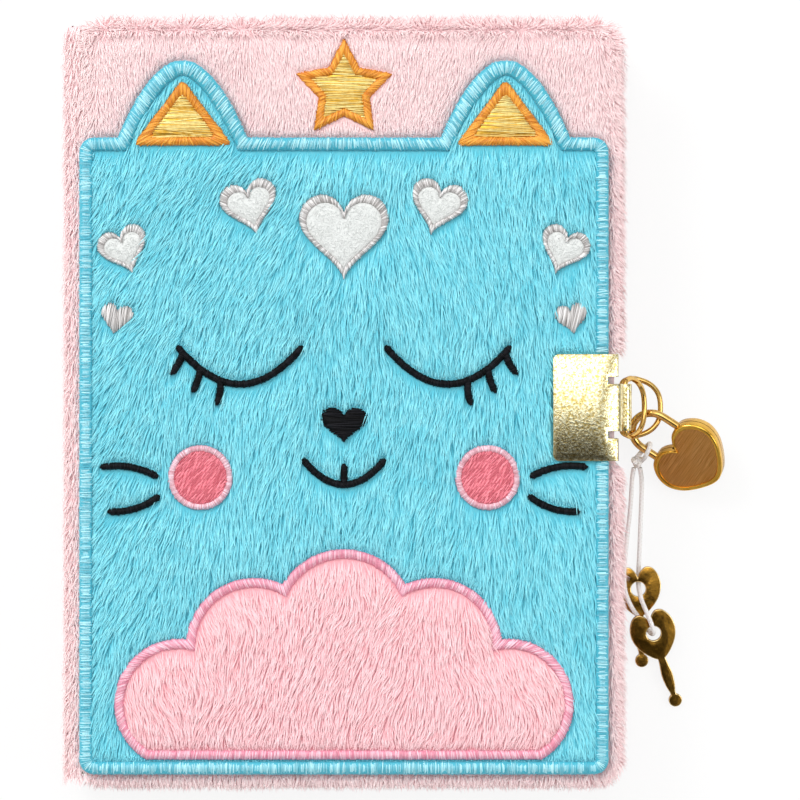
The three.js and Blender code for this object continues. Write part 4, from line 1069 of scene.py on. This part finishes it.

# Hinges: the same cloth runs on from the covers over the spine, 0.7 mm thick.
# A strip of it is curved round each long edge.
HINGE_FIBRES = 4200
for name, section, from_body, to_body in (
    (
        "back_hinge",
        [(-72.0, 1.5), (-74.4, 1.6), (-76.4, 2.2), (-77.7, 3.4), (-78.5, 5.2)],
        "back_cover",
        "spine",
    ),
    (
        "front_hinge",
        [(-78.5, 24.9), (-77.8, 26.5), (-76.4, 27.6), (-74.4, 28.2), (-72, 28.3)],
        "spine",
        "front_cover",
    ),
):
    outer = through([(x, 0, z) for x, z in section], 12)[:, [0, 2]]
    facing_out = unit(np.gradient(outer, axis=0))[:, [1, 0]] * (-1, 1)
    loop = np.vstack([outer, (outer - facing_out * 0.7)[::-1]])
    after = np.roll(loop, -1, 0)
    if (loop[:, 0] * after[:, 1] - after[:, 0] * loop[:, 1]).sum() < 0:
        loop = loop[::-1]
    levels = [(0, y) for y in np.arange(-104.8, 105, 4.0)]
    strip = lofted(name + "_cloth", lambda inset, loop=loop: loop, levels, [pink_ground], upright)
    at = rng.uniform(0, 12, HINGE_FIBRES)
    x, z, nx, nz = (np.interp(at, np.arange(13), row) for row in (*outer.T, *facing_out.T))
    roots = np.stack([x, rng.uniform(-105, 105, HINGE_FIBRES), z], 1)
    outward = unit(np.stack([nx, np.zeros(HINGE_FIBRES), nz], 1))
    tufts = pile(name + "_pile", roots, outward, swept(outward, 0.25), 20, 4.0, 0.36, pink_yarn, arch=0.4)
    start, end = ((x * MM, 0, z * MM) for x, z in (section[1], section[3]))
    for piece in (strip, moved(tufts, above_table)):
        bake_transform(piece)


def star_outline(inset, radius=14.2, waist=0.53):
    """A five-pointed star above the big patch, its sides moved in by an inset."""
    turn = np.radians(90 + 36 * np.arange(10))
    reach = np.where(np.arange(10) % 2, radius * waist, radius)
    sharp = np.stack([reach * np.cos(turn), reach * np.sin(turn)], 1)
    before, after = unit(sharp - np.roll(sharp, 1, 0)), unit(np.roll(sharp, -1, 0) - sharp)
    normal = unit((before + after)[:, [1, 0]] * (1, -1))
    stretch = np.maximum(0.35, normal[:, 0] * after[:, 1] - normal[:, 1] * after[:, 0])
    return sharp - normal * (inset / stretch)[:, None] + (PANEL_MIDDLE, (PANEL_TOP + PLUSH_HALF) / 2 - 2.4)


def cut_short(roots, along, length, blocked, least=0.12):
    """How much of each fibre's length it may use before it crosses a blocked outline."""
    reach = np.ones(len(roots))
    for share in (1.0, 0.8, 0.6, 0.4, 0.2):
        reach[blocked(roots[:, :2] + along[:, :2] * length * share)] = max(least, share - 0.2)
    return reach


def blocked_on_cover(points):
    """Whether the pink pile mustn't lie here: on the big patch, the star or the clasp plate."""
    return within(points, panel_outline(-0.2)) | within(points, star_outline(-0.2)) | ~clear_of_clasp(points)


FRONT_LENGTH = 3.6
spots = sown(cover_outline(0.6), 0.48)
spots = spots[~blocked_on_cover(spots) & (spots[:, 0] > -73)]
spots = spots[(spots[:, 1] > 60) | (rng.uniform(0, 1, len(spots)) < 0.8)]
roots = np.column_stack([spots, cover_height(spots)])
nap = swirled(roots, 0, 36, 45)
outwards = np.sign(spots) * np.stack([np.abs(spots[:, 0]) > 68, np.abs(spots[:, 1]) > 98], 1)
nap[:, :2] += outwards * np.clip(1.4 - distance_to(spots, cover_outline(0)) / 4, 0, 1.4)[:, None]
nap = unit(nap)
reach = cut_short(spots, nap, FRONT_LENGTH, blocked_on_cover)
tufts = pile("front_pile", roots, UPWARD, nap, 11, FRONT_LENGTH, 0.3, pink_yarn, arch=0.3, reach=reach)
fit(tufts, "front_cover", "pink_plush")
edge_pile("front_edge_pile", "front_cover", front_cloth_levels[5:], 17500, 4.4, 40)

# Big patch: turquoise plush with a long brushed pile, cut out with two ears and sewn on
# with a wide satin stitch round its edge. It puffs up between what is sewn on it.
PANEL_SATIN = 3.6
turquoise_yarn = pile_yarn("turquoise_cut_pile", "#49bdd3", "#74d9e9", "#98ecf7")
# The ground is darker than the pile: painted shade in the gaps between the fibres.
turquoise_ground = plush_ground("turquoise_knitted_ground", "#4bb2c7", "#6fcbdb")

# The cloth's height under what is sewn on it, and the foot of the patches on it.
SEWN_ON = 31.0
PATCH_FOOT = SEWN_ON + 0.05


def heart(full_width, full_height, inset=0.0):
    """A heart's outline with its tip at -y, as an array of points that runs counter-clockwise."""
    width, height = full_width - 2 * inset, full_height - 2.3 * inset
    t = 2 * np.pi * (np.arange(72) + 0.5) / 72
    y = 13 * np.cos(t) - 5 * np.cos(2 * t) - 2 * np.cos(3 * t) - np.cos(4 * t)
    return np.stack([-16 * np.sin(t) ** 3 / 32 * width, (y + 2.5) / 29 * height], 1)


def ear_gold(inset, x, half=14.0, height=18.5, soft=2.2):
    """A triangle of gold cloth on an ear, its corners rounded."""
    lean = np.hypot(half, height)
    foot = inset * (lean + half) / height
    sharp = np.array([(-half + foot, inset), (half - foot, inset), (0.0, height - inset * lean / half)])
    parts = []
    for i in range(3):
        start, end = (sharp[i] + unit(sharp[j] - sharp[i]) * soft for j in (i - 1, (i + 1) % 3))
        parts += [start[None], bezier(start, sharp[i], end, 5)]
    return np.vstack(parts) + (x, PANEL_TOP - 2.2)


def disc_outline(inset, x, y, radius):
    turn = np.linspace(0, 2 * np.pi, 48, endpoint=False)
    return np.stack([x + (radius - inset) * np.cos(turn), y + (radius - inset) * np.sin(turn)], 1)


def heart_outline(inset, x, y, width, turn, side=1):
    shape = turned(heart(width, width * 0.95, inset), turn) + (x, y)
    if side < 0:
        shape = shape[::-1] * (-1, 1)
    return shape + (PANEL_MIDDLE, 0)


LOBES = [(-46, -84, 18), (-25, -68, 19), (0, -61, 20), (25, -68, 19), (46, -84, 18)]
CLOUD_BASE = PANEL_BOTTOM + PANEL_SATIN + 0.6


def cloud_outline(inset):
    """Five round lobes on a straight base."""
    lobes = [(x, y, radius - inset) for x, y, radius in reversed(LOBES)]
    parts = []
    for i, (x, y, radius) in enumerate(lobes):
        foot = np.arcsin(np.clip((CLOUD_BASE + inset - y) / radius, -1.0, 1.0))
        ends = [foot, np.pi - foot]
        for k, (j, side) in enumerate(((i - 1, 1), (i + 1, -1))):
            if 0 <= j < len(lobes):
                nx, ny, other = lobes[j]
                apart = np.hypot(nx - x, ny - y)
                share = (apart**2 + radius**2 - other**2) / (2 * apart)
                ends[k] = np.arctan2(ny - y, nx - x) + side * np.arccos(share / radius)
        start = ends[0] - 2 * np.pi if ends[0] > ends[1] else ends[0]
        end = ends[1] + 2 * np.pi if ends[1] < start else ends[1]
        parts.append(arc(x + PANEL_MIDDLE, y, radius, np.degrees(start), np.degrees(end), 22))
    return np.vstack(parts)


def leaning_line(start, end, bow, steps=24):
    """A line that bows to its left, as a list of points."""
    start, end = np.array(start, float), np.array(end, float)
    lift = 2 * bow * unit(np.array([start[1] - end[1], end[0] - start[0]]))
    return np.vstack([start[None], bezier(start, (start + end) / 2 + lift, end, steps)])


def point_on(line, share):
    return at_places(line, run(line), share * run(line)[-1])


# What is sewn on the patch: each outline, and the width of its satin edge.
patches = {}
for side, sign in (("left", -1), ("right", 1)):
    patches[side + "_ear"] = (lambda i, x=PANEL_MIDDLE + sign * EAR_APART: ear_gold(i, x), 2.4)
    patches[side + "_cheek"] = (lambda i, x=PANEL_MIDDLE + sign * 40.0: disc_outline(i, x, -21.0, 9.0), 1.8)
    patches[side + "_upper_heart"] = (lambda i, s=sign: heart_outline(i, 61, 42, 14, -20, s), 1.7)
    patches[side + "_lower_heart"] = (lambda i, s=sign: heart_outline(i, 63.5, 23, 9, 10, s), 0)
for name, x, y, width, turn in (
    ("left", -26, 54, 16, 14), ("middle", 0, 46, 25, 0), ("right", 26, 54, 16, -14)
):
    patches["forehead_" + name + "_heart"] = (lambda i, h=(x, y, width, turn): heart_outline(i, *h), 2.0)
patches["cloud"] = (cloud_outline, 2.6)

# The sleeping face's lines: a lid with three lashes for each eye, a smile and four whiskers.
LINE = 1.9
strokes = {}
for side, sign in (("left", -1), ("right", 1)):
    lid = leaning_line((-17, 0), (17, 0), -10)
    lashes = []
    for share, lean in ((0.04, 28), (0.2, 16), (0.36, 6)):
        root, angle = point_on(lid, share), np.radians(-90 - lean)
        lashes.append(leaning_line(root, root + 6 * np.array([np.cos(angle), np.sin(angle)]), 0.4, 8))
    strokes[side + "_eye"] = [line * (-sign, 1) + (PANEL_MIDDLE + sign * 29, 15) for line in [lid] + lashes]
    for name, start, end, bow in (
        ("upper", (52.5, -20.5), (67, -18), 1.2), ("lower", (52, -26.5), (65, -30.5), -1.2)
    ):
        strokes[f"{side}_{name}_whisker"] = [leaning_line(start, end, bow) * (sign, 1) + (PANEL_MIDDLE, 0)]
smile = leaning_line((-11, -16.5), (11, -16.5), -6.5)
lip = point_on(smile, 0.5)
strokes["mouth"] = [line + (PANEL_MIDDLE, 0) for line in (smile, leaning_line(lip, lip + (0, 5), 0, 6))]


def nose_outline(inset):
    return heart(13, 10, inset) + (PANEL_MIDDLE, -6.5)


def sewn_distance(points):
    """The distance from what holds the patch down: its edge, and all that is sewn on it."""
    edge = panel_outline(PANEL_SATIN)
    nearest = np.where(within(points, edge), distance_to(points, edge), 0)
    for shape in [shape for shape, _ in patches.values()] + [nose_outline]:
        outline = shape(0)
        nearest = np.minimum(nearest, np.where(within(points, outline), 0, distance_to(points, outline)))
    for line in sum(strokes.values(), []):
        nearest = np.minimum(nearest, distance_to(points, line, closed=False) - LINE / 2)
    return np.maximum(nearest, 0)


def panel_height(points):
    """The patch's height in millimetres: held down where it is sewn, and puffed up between."""
    rolling = np.array([noise.noise((x / 26, y / 26, 0.5)) for x, y in points[:, :2]])
    puff = 1 - np.exp(-sewn_distance(points[:, :2]) / 5)
    height = SEWN_ON - 0.1 + puff * (0.75 + 0.3 * rolling)
    pressed = (points[:, 0] > CLASP_LEFT - 1) & (np.abs(points[:, 1] - CLASP_MIDDLE) < CLASP_HALF + 1)
    return np.where(pressed, SEWN_ON - 0.1, height)


panel_levels = [(0.5, 28.8), (0.2, 29.2), (0.2, 30.4), (0.6, SEWN_ON - 0.1)]
cloth = pad("big_patch_cloth", panel_outline, panel_levels, panel_height, 2.6, turquoise_ground)
fit(cloth, "front_cover", "turquoise_plush", "panel_plush")


def blocked_on_panel(points):
    """Whether the pile mustn't lie here: on the patch's satin edge, or on what is sewn on it."""
    blocked = ~within(points, panel_outline(PANEL_SATIN - 0.5)) | ~clear_of_clasp(points, 0.1)
    for shape, _ in patches.values():
        blocked |= within(points, shape(0.35))
    blocked |= within(points, nose_outline(0))
    for line in sum(strokes.values(), []):
        near = ((points > line.min(0) - 2) & (points < line.max(0) + 2)).all(1)
        if near.any():
            blocked[near] |= distance_to(points[near], line, closed=False) < LINE / 2
    return blocked


def locks(roots, nap, length, pitch, pull=0.5):
    """Draws the fibres together into locks, and notes a tone for each: random for each lock, and darker away
    from its middle as painted shade in the partings.
    """
    low, high = roots[:, :2].min(0), roots[:, :2].max(0)
    centres = sown(np.array([low, (high[0], low[1]), high, (low[0], high[1])]), pitch)
    gap, near = [], []
    for part in np.array_split(roots[:, :2], max(1, len(roots) // 1000)):
        apart = np.linalg.norm(part[:, None] - centres[None], axis=2)
        near.append(apart.argmin(1))
        gap.append(apart.min(1))
    near, gap = np.concatenate(near), np.concatenate(gap)
    aim = unit(centres[near] + nap[:, :2] * length * 0.9 - roots[:, :2])
    drawn = nap.copy()
    drawn[:, :2] = nap[:, :2] * (1 - pull) + aim * pull
    own = rng.uniform(0, 1, len(centres))[near]
    # Fibres far from their lock's middle get a darker tone: painted shade in the partings between locks.
    return unit(drawn), np.clip(0.75 * own + 0.6 * (1 - gap / (0.6 * pitch)), 0, 1)


def brushed_pile(name, area, height, blocked, brushing, length, lock, thickness, yarn, arch, slot, parts):
    """A long pile on a patch, in locks and kept off what is sewn there, in parts of one piece each."""
    spots = sown(area, 0.7)
    spots = spots[~blocked(spots)]
    roots = np.column_stack([spots, height(spots) - 0.05])
    nap, shade = locks(roots, swirled(roots, *brushing(spots)), length, lock)
    reach = cut_short(spots, nap, length, blocked)
    for part, chosen in parts(spots).items():
        tufts = pile(
            f"{name}_{part}", roots[chosen], UPWARD, nap[chosen], 6, length, thickness, yarn, arch,
            reach=reach[chosen], shade=shade[chosen],
        )
        fit(tufts, "front_cover", slot)


def quarters(spots):
    at_head, at_left = spots[:, 1] > -4, spots[:, 0] < PANEL_MIDDLE
    return {
        "head_left": at_head & at_left,
        "head_right": at_head & ~at_left,
        "foot_left": ~at_head & at_left,
        "foot_right": ~at_head & ~at_left,
    }


brushed_pile(
    "big_patch_pile",
    panel_outline(PANEL_SATIN - 0.2),
    panel_height,
    blocked_on_panel,
    brushing=lambda spots: (np.degrees(np.arctan(spots[:, 0] / 260)) - 6, 30, 42),
    length=6.5,
    lock=3.2,
    thickness=0.38,
    yarn=turquoise_yarn,
    arch=0.42,
    slot="turquoise_plush",
    parts=quarters,
)

# Satin stitch: rayon thread laid side by side over a patch's edge, from one side of the line to the other,
# so that it stands up as a rounded cord. A strip of the same material under it closes the gaps, in the
# thread's darkest colour as painted shade between the threads.


def bar_of_thread(tree, known):
    ends = {"Start": (-0.5, 0, 0), "End": (0.5, 0, 0)}
    straight = add(tree, "GeometryNodeCurvePrimitiveLine", ends)
    stretch = add(tree, "GeometryNodeResampleCurve", {"Curve": straight, "Count": 6})
    section = add(tree, "GeometryNodeCurvePrimitiveCircle", {"Resolution": 5, "Radius": known["half"]})
    return add(
        tree, "GeometryNodeCurveToMesh", {"Curve": stretch, "Profile Curve": section, "Fill Caps": True}
    )


thread_tree = shape_tree(
    "satin stitch",
    ("Thread", "Crown"),
    (
        ("half", "MULTIPLY", "Thread", 0.5),
        ("double", "MULTIPLY", "x", 2.0),
        ("share", "ABSOLUTE", "double"),
        ("fall", "POWER", "share", 2.6),
        ("left over", "SUBTRACT", 1.0, "fall"),
        ("lift", "MULTIPLY", "left over", "Crown"),
        ("raised", "ADD", "z", "lift"),
    ),
    bar_of_thread,
    tip="share",
    place=("x", "y", "raised"),
    scale=("reach", "thick", "thick"),
    lengthwise="X",
    facing_up="Z",
)


def thread_finish(name, dark, light, roughness=0.38, gloss=0.5):
    """Embroidery rayon: silky, with painted shade where it dives into the cloth, and each stitch a random
    tone, painted as the thread's glints.
    """
    material, tree, shader = finish(
        name, Roughness=roughness, Sheen_Weight=0.1 * gloss, IOR=1.5, Specular_IOR_Level=gloss
    )
    tip = add(tree, "ShaderNodeAttribute", attribute_name="tip")
    own = add(tree, "ShaderNodeAttribute", attribute_name="shade")
    # Each stitch gets a random tone between dark and light, painted as the thread's glints.
    stitch_tone_and_painted_glint = add(tree, "ShaderNodeMix", {0: own, 6: dark, 7: light}, data_type="RGBA")
    # Towards the ends, where the thread dives into the cloth, the colour goes dark: painted shade.
    painted_dive_shade = add(tree, "ShaderNodeMapRange", {"Value": tip, "From Min": 0.7, "From Max": 1.0, "To Max": 0.7})
    dress(shader, painted_dive_shade, stitch_tone_and_painted_glint, dark)
    return material


def threads(name, starts, ends, height, crown, thread, material):
    """Threads laid from starts to ends, each a little askew."""
    starts, ends = np.asarray(starts), np.asarray(ends)
    count = len(starts)
    middle = (starts + ends) / 2 + rng.normal(0, 0.04, (count, 2))
    long = np.linalg.norm(ends - starts, axis=1)
    span = np.column_stack([unit(ends - starts), np.zeros(count)])
    span[:, :2] += span[:, [1, 0]] * (-1, 1) * rng.normal(0, 0.06, count)[:, None]
    notes = {
        "along": unit(span),
        "up": np.broadcast_to(UPWARD, (count, 3)),
        "reach": (long + rng.uniform(-0.1, 0.32, count)) * MM,
        "thick": rng.uniform(0.9, 1.12, count),
        "shade": rng.uniform(0, 1, count),
    }
    points = np.column_stack([middle, np.full(count, height) + rng.normal(0, 0.03, count)])
    values = {"Thread": thread * MM, "Crown": crown * MM, "Yarn": material}
    return grown_on(name, thread_tree, points, notes, values)


def pairs_along(outer, inner, pitch, closed=True):
    """Where the threads start and end: on two lines, point for point, at an even pitch."""
    if closed:
        outer, inner = np.vstack([outer, outer[:1]]), np.vstack([inner, inner[:1]])
    along = run((outer + inner) / 2)
    return [at_places(line, along, np.arange(pitch / 2, along[-1], pitch)) for line in (outer, inner)]


def joined_piece(name, pieces):
    """Joins meshes into one piece."""
    whole = bmesh.new()
    slots = []
    for piece in pieces:
        before = len(whole.faces)
        # Pieces without these notes get zeros, so under threads they take the darkest colour: painted shade
        # between the threads.
        for label in ("tip", "shade"):
            if label not in piece.data.attributes:
                piece.data.attributes.new(label, "FLOAT", "POINT")
        whole.from_mesh(piece.data)
        whole.faces.ensure_lookup_table()
        for face in whole.faces[before:]:
            material = piece.data.materials[face.material_index]
            if material not in slots:
                slots.append(material)
            face.material_index = slots.index(material)
        bpy.data.objects.remove(piece)
    made = piece_from(name, [], [], slots)
    whole.to_mesh(made.data)
    whole.free()
    return made


def satin_edge(name, shape, width, foot, material, rise, slot, node):
    """A satin-stitched edge as one piece: its threads, and the crowned strip under them."""
    top = foot + rise - 0.1
    shoulder = foot + 0.5 * (top - foot)
    half = [(0.0, foot), (0.03, shoulder), (0.2, top - 0.12), (0.5, top)]
    profile = half + [(1 - share, z) for share, z in half[-2::-1]]
    rings = rings_of(shape, [width * share for share, _ in profile], 3)
    vertices = [(x, y, z) for ring, (_, z) in zip(rings, profile) for x, y in ring]
    strip = mesh_object(name + "_strip", vertices, skin(len(rings), len(rings[0]), loop=True), material)
    outer, inner = pairs_along(shape(0), shape(width), 0.38)
    rows = threads(name + "_threads", outer, inner, foot + 0.25, rise - 0.25, 0.37, material)
    return fit(joined_piece(name, [strip, rows]), "front_cover", slot, node)


def pressed_by_clasp(points):
    """Presses the stitches flat where the clasp plate lies on them."""
    under = (points[:, 0] > CLASP_LEFT - 0.5) & (np.abs(points[:, 1] - CLASP_MIDDLE) < CLASP_HALF + 0.5)
    points[under, 2] = np.minimum(points[under, 2], SEWN_ON + 0.15)
    return points


turquoise_thread = thread_finish("turquoise_rayon_thread", "#46b2c8", "#c2f6fd")
edge = satin_edge(
    "big_patch_edge", panel_outline, PANEL_SATIN, SEWN_ON - 0.1,
    turquoise_thread, 1.6, "turquoise_satin", "panel_edge"
)
moved(edge, pressed_by_clasp)

# Ears and star: stiff cloth woven with gold foil yarn, whose ribs run across. Each piece is cut out,
# laid on the plush and sewn down all round with orange satin stitch.

# Foil yarn: flat strips of metal film. Single ribs are painted pale as glints, while others stay deep gold.
gold_cloth, tree, shader = finish("gold_foil_cloth", Metallic=0.75, Roughness=0.32)
own = add(tree, "ShaderNodeAttribute", attribute_name="shade")
place = add(tree, "ShaderNodeTexCoord").outputs["Object"]
painted_glint = add(tree, "ShaderNodeTexNoise", {"Vector": place, "Scale": 900.0, "Detail": 2.0})
rib_tone_and_painted_glint = add(tree, "ShaderNodeMath", {0: own, 1: painted_glint}, operation="ADD")
spread = add(tree, "ShaderNodeMapRange", {"Value": rib_tone_and_painted_glint, "From Min": 0.4, "From Max": 1.5})
dress(shader, spread, "#dfae3c", "#fff4ae")
orange_thread = thread_finish("orange_rayon_thread", "#d17a0e", "#ffba48")


def hatched(outline, angle, pitch, stitch=None, brick=0.5):
    """Straight rows across a shape, whole or broken into stitches of one length that step from row to row."""
    across = turned(np.asarray(outline), -angle)
    starts, ends = [], []
    for number, y in enumerate(np.arange(across[:, 1].min() + pitch / 2, across[:, 1].max(), pitch)):
        a, b = across, np.roll(across, -1, 0)
        cuts = (a[:, 1] > y) != (b[:, 1] > y)
        x = np.sort(a[cuts, 0] + (y - a[cuts, 1]) * (b[cuts, 0] - a[cuts, 0]) / (b[cuts, 1] - a[cuts, 1]))
        for x0, x1 in zip(x[::2], x[1::2]):
            marks = [x0, x1]
            if stitch:
                first = (np.floor(x0 / stitch) + (number * brick) % 1) * stitch
                marks[1:1] = [m for m in np.arange(first, x1, stitch) if x0 + 0.5 < m < x1 - 0.5]
            for m, n in zip(marks, marks[1:]):
                if n - m > 0.25:
                    starts.append((m, y))
                    ends.append((n, y))
    return turned(np.array(starts), angle), turned(np.array(ends), angle)


def domed(edge, foot, rise):
    """The height of a sewn-on piece of cloth inside its edge."""
    return lambda points: foot + rise * (0.6 + 0.4 * np.clip(distance_to(points, edge) / 2.5, 0, 1))


def filling(name, shape, inset, foot, rise, material, pitch):
    """A sewn-on piece of cloth inside its edge, slightly domed."""
    levels = [(inset - 0.15, foot), (inset - 0.15, foot + 0.3), (inset + 0.15, foot + rise * 0.6)]
    return pad(name + "_ground", shape, levels, domed(shape(inset), foot, rise), pitch, material)


def covered(name, ending, base, rows, height, crown, thread, material, slot, node):
    """A sewn-on piece of cloth with threads laid over it in rows, as one piece."""
    laid = threads(name + "_rows", *rows, height, crown, thread, material)
    fit(joined_piece(name + ending, [base, laid]), "front_cover", slot, node)


gold_patches = {name: (*patches[name], PATCH_FOOT) for name in ("left_ear", "right_ear")}
gold_patches["star"] = (star_outline, 2.2, 29.0)
for name, (shape, satin, foot) in gold_patches.items():
    base = filling(name, shape, satin, foot, 0.75, gold_cloth, 1.6)
    ribs = hatched(shape(satin - 0.2), 0, 0.36)
    covered(name, "_cloth", base, ribs, foot + 0.62, 0.18, 0.36, gold_cloth, "gold_cloth", name + "_fill")
    satin_edge(name + "_satin", shape, satin, foot, orange_thread, 1.25, "orange_satin", name + "_edge")

# Hearts: white felt of wool and polyester, cut out and sewn down all round with silver satin stitch.
# The two lowest are too small for felt and are filled with the silver thread.

# Felt: fibres matted flat, so it looks dull and even, with a short fuzz.
felt = mottled(
    "white_felt", "#cfd3d1", "#eceeec", 700.0, 5.0, bump=(0.5, 0.0003), Roughness=0.95, Sheen_Weight=0.25
)
felt_yarn = pile_yarn("white_felt_fuzz", "#cdd1cf", "#dee1df", "#f2f3f2")
silver_thread = thread_finish("silver_grey_rayon_thread", "#a9a4a2", "#f9f7f6")
FELT_THICK, FUZZ_LENGTH = 0.95, 1.8

for name, (shape, satin) in patches.items():
    if name.endswith("lower_heart"):
        base = filling(name, shape, 0.3, SEWN_ON - 0.1, 1.1, silver_thread, 1.5)
        rows = hatched(shape(0), 80, 0.4)
        covered(name, "_satin", base, rows, SEWN_ON + 0.35, 0.9, 0.42, silver_thread, "silver_satin", name)
    elif name.endswith("heart"):
        cloth = filling(name, shape, satin, PATCH_FOOT, FELT_THICK, felt, 1.8)
        spots = sown(shape(satin + 0.3), 0.62)
        roots = np.column_stack([spots, domed(shape(satin), PATCH_FOOT, FELT_THICK)(spots)])
        angle = rng.uniform(0, 2 * np.pi, len(spots))
        nap = np.stack([np.cos(angle), np.sin(angle), np.zeros(len(spots))], 1)
        reach = cut_short(spots, nap, FUZZ_LENGTH, lambda p, s=shape(satin): ~within(p, s))
        fuzz = pile(
            name + "_fuzz", roots, UPWARD, nap, 5, FUZZ_LENGTH, 0.2, felt_yarn, arch=0.12, reach=reach
        )
        fit(joined_piece(name + "_felt", [cloth, fuzz]), "front_cover", "felt", name + "_fill")
        satin_edge(
            name + "_satin", shape, satin, PATCH_FOOT, silver_thread, 1.2, "silver_satin", name + "_edge"
        )

# Cheeks: round patches filled with coral rayon thread in short slanting stitches, laid like bricks.
# A pale pink satin edge is sewn over the ends of the rows.
coral_thread = thread_finish("coral_rayon_thread", "#cf5b6b", "#ff9aa8", 0.45)
pale_thread = thread_finish("pale_pink_rayon_thread", "#dfa3b0", "#ffe3ee")
for name in ("left_cheek", "right_cheek"):
    shape, satin = patches[name]
    base = filling(name, shape, satin, PATCH_FOOT, 0.85, coral_thread, 1.8)
    rows = hatched(shape(satin - 0.1), 52, 0.4, stitch=2.4, brick=0.38)
    covered(
        name, "_stitches", base, rows, SEWN_ON + 0.75, 0.22, 0.4, coral_thread, "coral_stitch", name + "_fill"
    )
    satin_edge(
        name + "_satin", shape, satin, PATCH_FOOT, pale_thread, 1.15, "pale_pink_satin", name + "_edge"
    )

# Face: black rayon satin stitch, sewn straight through the plush. The lids, lashes, mouth and whiskers
# are narrow lines of it, and the nose is filled with it.
black_thread = thread_finish("black_rayon_thread", "#060607", "#1e1e23", 0.5, gloss=0.12)
CROWN = ((-0.5, 0.0), (-0.47, 0.55), (-0.3, 0.93), (0.0, 1.0), (0.3, 0.93), (0.47, 0.55), (0.5, 0.0))


def stitched_line(name, line, foot, rise):
    """A line of satin stitch with round ends: its crowned strip, and its threads."""
    along = run(line)
    middle = at_places(line, along, np.linspace(0, along[-1], max(8, int(along[-1] / 0.7))))
    tangent = unit(np.gradient(middle, axis=0))
    # The threads get shorter in the round ends.
    extra = LINE * 0.45
    middle = np.vstack([middle[0] - tangent[0] * extra, middle, middle[-1] + tangent[-1] * extra])
    across = np.vstack([tangent[:1], tangent, tangent[-1:]])[:, [1, 0]] * (1, -1)
    far = run(middle)
    near_end = np.clip(np.minimum(far, far[-1] - far) / (LINE / 2), 0.06, 1)
    half = (LINE / 2 * np.sqrt(1 - (1 - near_end) ** 2))[:, None]
    vertices = [
        (x, y, foot + lift * (rise - 0.12))
        for share, lift in CROWN
        for x, y in middle + across * (2 * half * share)
    ]
    levels, count = len(CROWN), len(middle)
    caps = [tuple(level * count for level in range(levels))]
    caps.append(tuple(level * count + count - 1 for level in reversed(range(levels))))
    strip = mesh_object(
        name + "_strip", vertices, skin(levels, count, ring=False, loop=True) + caps, black_thread
    )
    starts, ends = pairs_along(middle - across * half, middle + across * half, 0.42, closed=False)
    return [strip, threads(name + "_threads", starts, ends, foot + 0.2, rise - 0.2, 0.42, black_thread)]


for name, lines in strokes.items():
    parts = [
        stitched_line(f"{name}_{number}", line, SEWN_ON - 0.05, 1.35) for number, line in enumerate(lines)
    ]
    fit(joined_piece(name + "_stitches", sum(parts, [])), "front_cover", "black_satin", name)
base = filling("nose", nose_outline, 0.4, SEWN_ON - 0.05, 1.35, black_thread, 1.6)
rows = hatched(nose_outline(0), 0, 0.4)
covered("nose", "_stitches", base, rows, SEWN_ON + 0.3, 1.1, 0.42, black_thread, "black_satin", "nose")

# Cloud: a patch of pink plush whose pile is a little shorter than the turquoise one's. It is cut out,
# laid on the big patch and sewn down all round with pink satin stitch.
cloud_yarn = pile_yarn("rose_cut_pile", "#fab9c1", "#ffced3", "#ffdde1")
# The ground is darker than the pile: painted shade in the gaps between the fibres.
cloud_ground = plush_ground("rose_knitted_ground", "#e39aa5", "#f2b4bb")
rose_thread = thread_finish("rose_rayon_thread", "#e58ea6", "#ffd7e4")
cloud_satin = patches["cloud"][1]
clear = cloud_outline(cloud_satin - 0.4)


def cloud_height(points):
    inside = distance_to(points[:, :2], cloud_outline(cloud_satin))
    return PATCH_FOOT + 0.35 + 0.9 * (1 - np.exp(-inside / 5))


cloud_levels = [(cloud_satin - gap, PATCH_FOOT + rise) for gap, rise in ((0.4, 0), (0.4, 0.2), (0.1, 0.35))]
cloth = pad("cloud_cloth", cloud_outline, cloud_levels, cloud_height, 2.6, cloud_ground)
fit(cloth, "front_cover", "pink_plush", "cloud_fill")
brushed_pile(
    "cloud_pile",
    cloud_outline(cloud_satin),
    cloud_height,
    lambda points: ~within(points, clear),
    brushing=lambda spots: (4, 50, 40),
    length=5.5,
    lock=3.0,
    thickness=0.4,
    yarn=cloud_yarn,
    arch=0.4,
    slot="pink_plush",
    parts=lambda spots: {"left": spots[:, 0] < PANEL_MIDDLE, "right": spots[:, 0] >= PANEL_MIDDLE},
)
satin_edge(
    "cloud_satin", cloud_outline, cloud_satin, PATCH_FOOT, rose_thread, 1.35, "pink_satin", "cloud_edge"
)
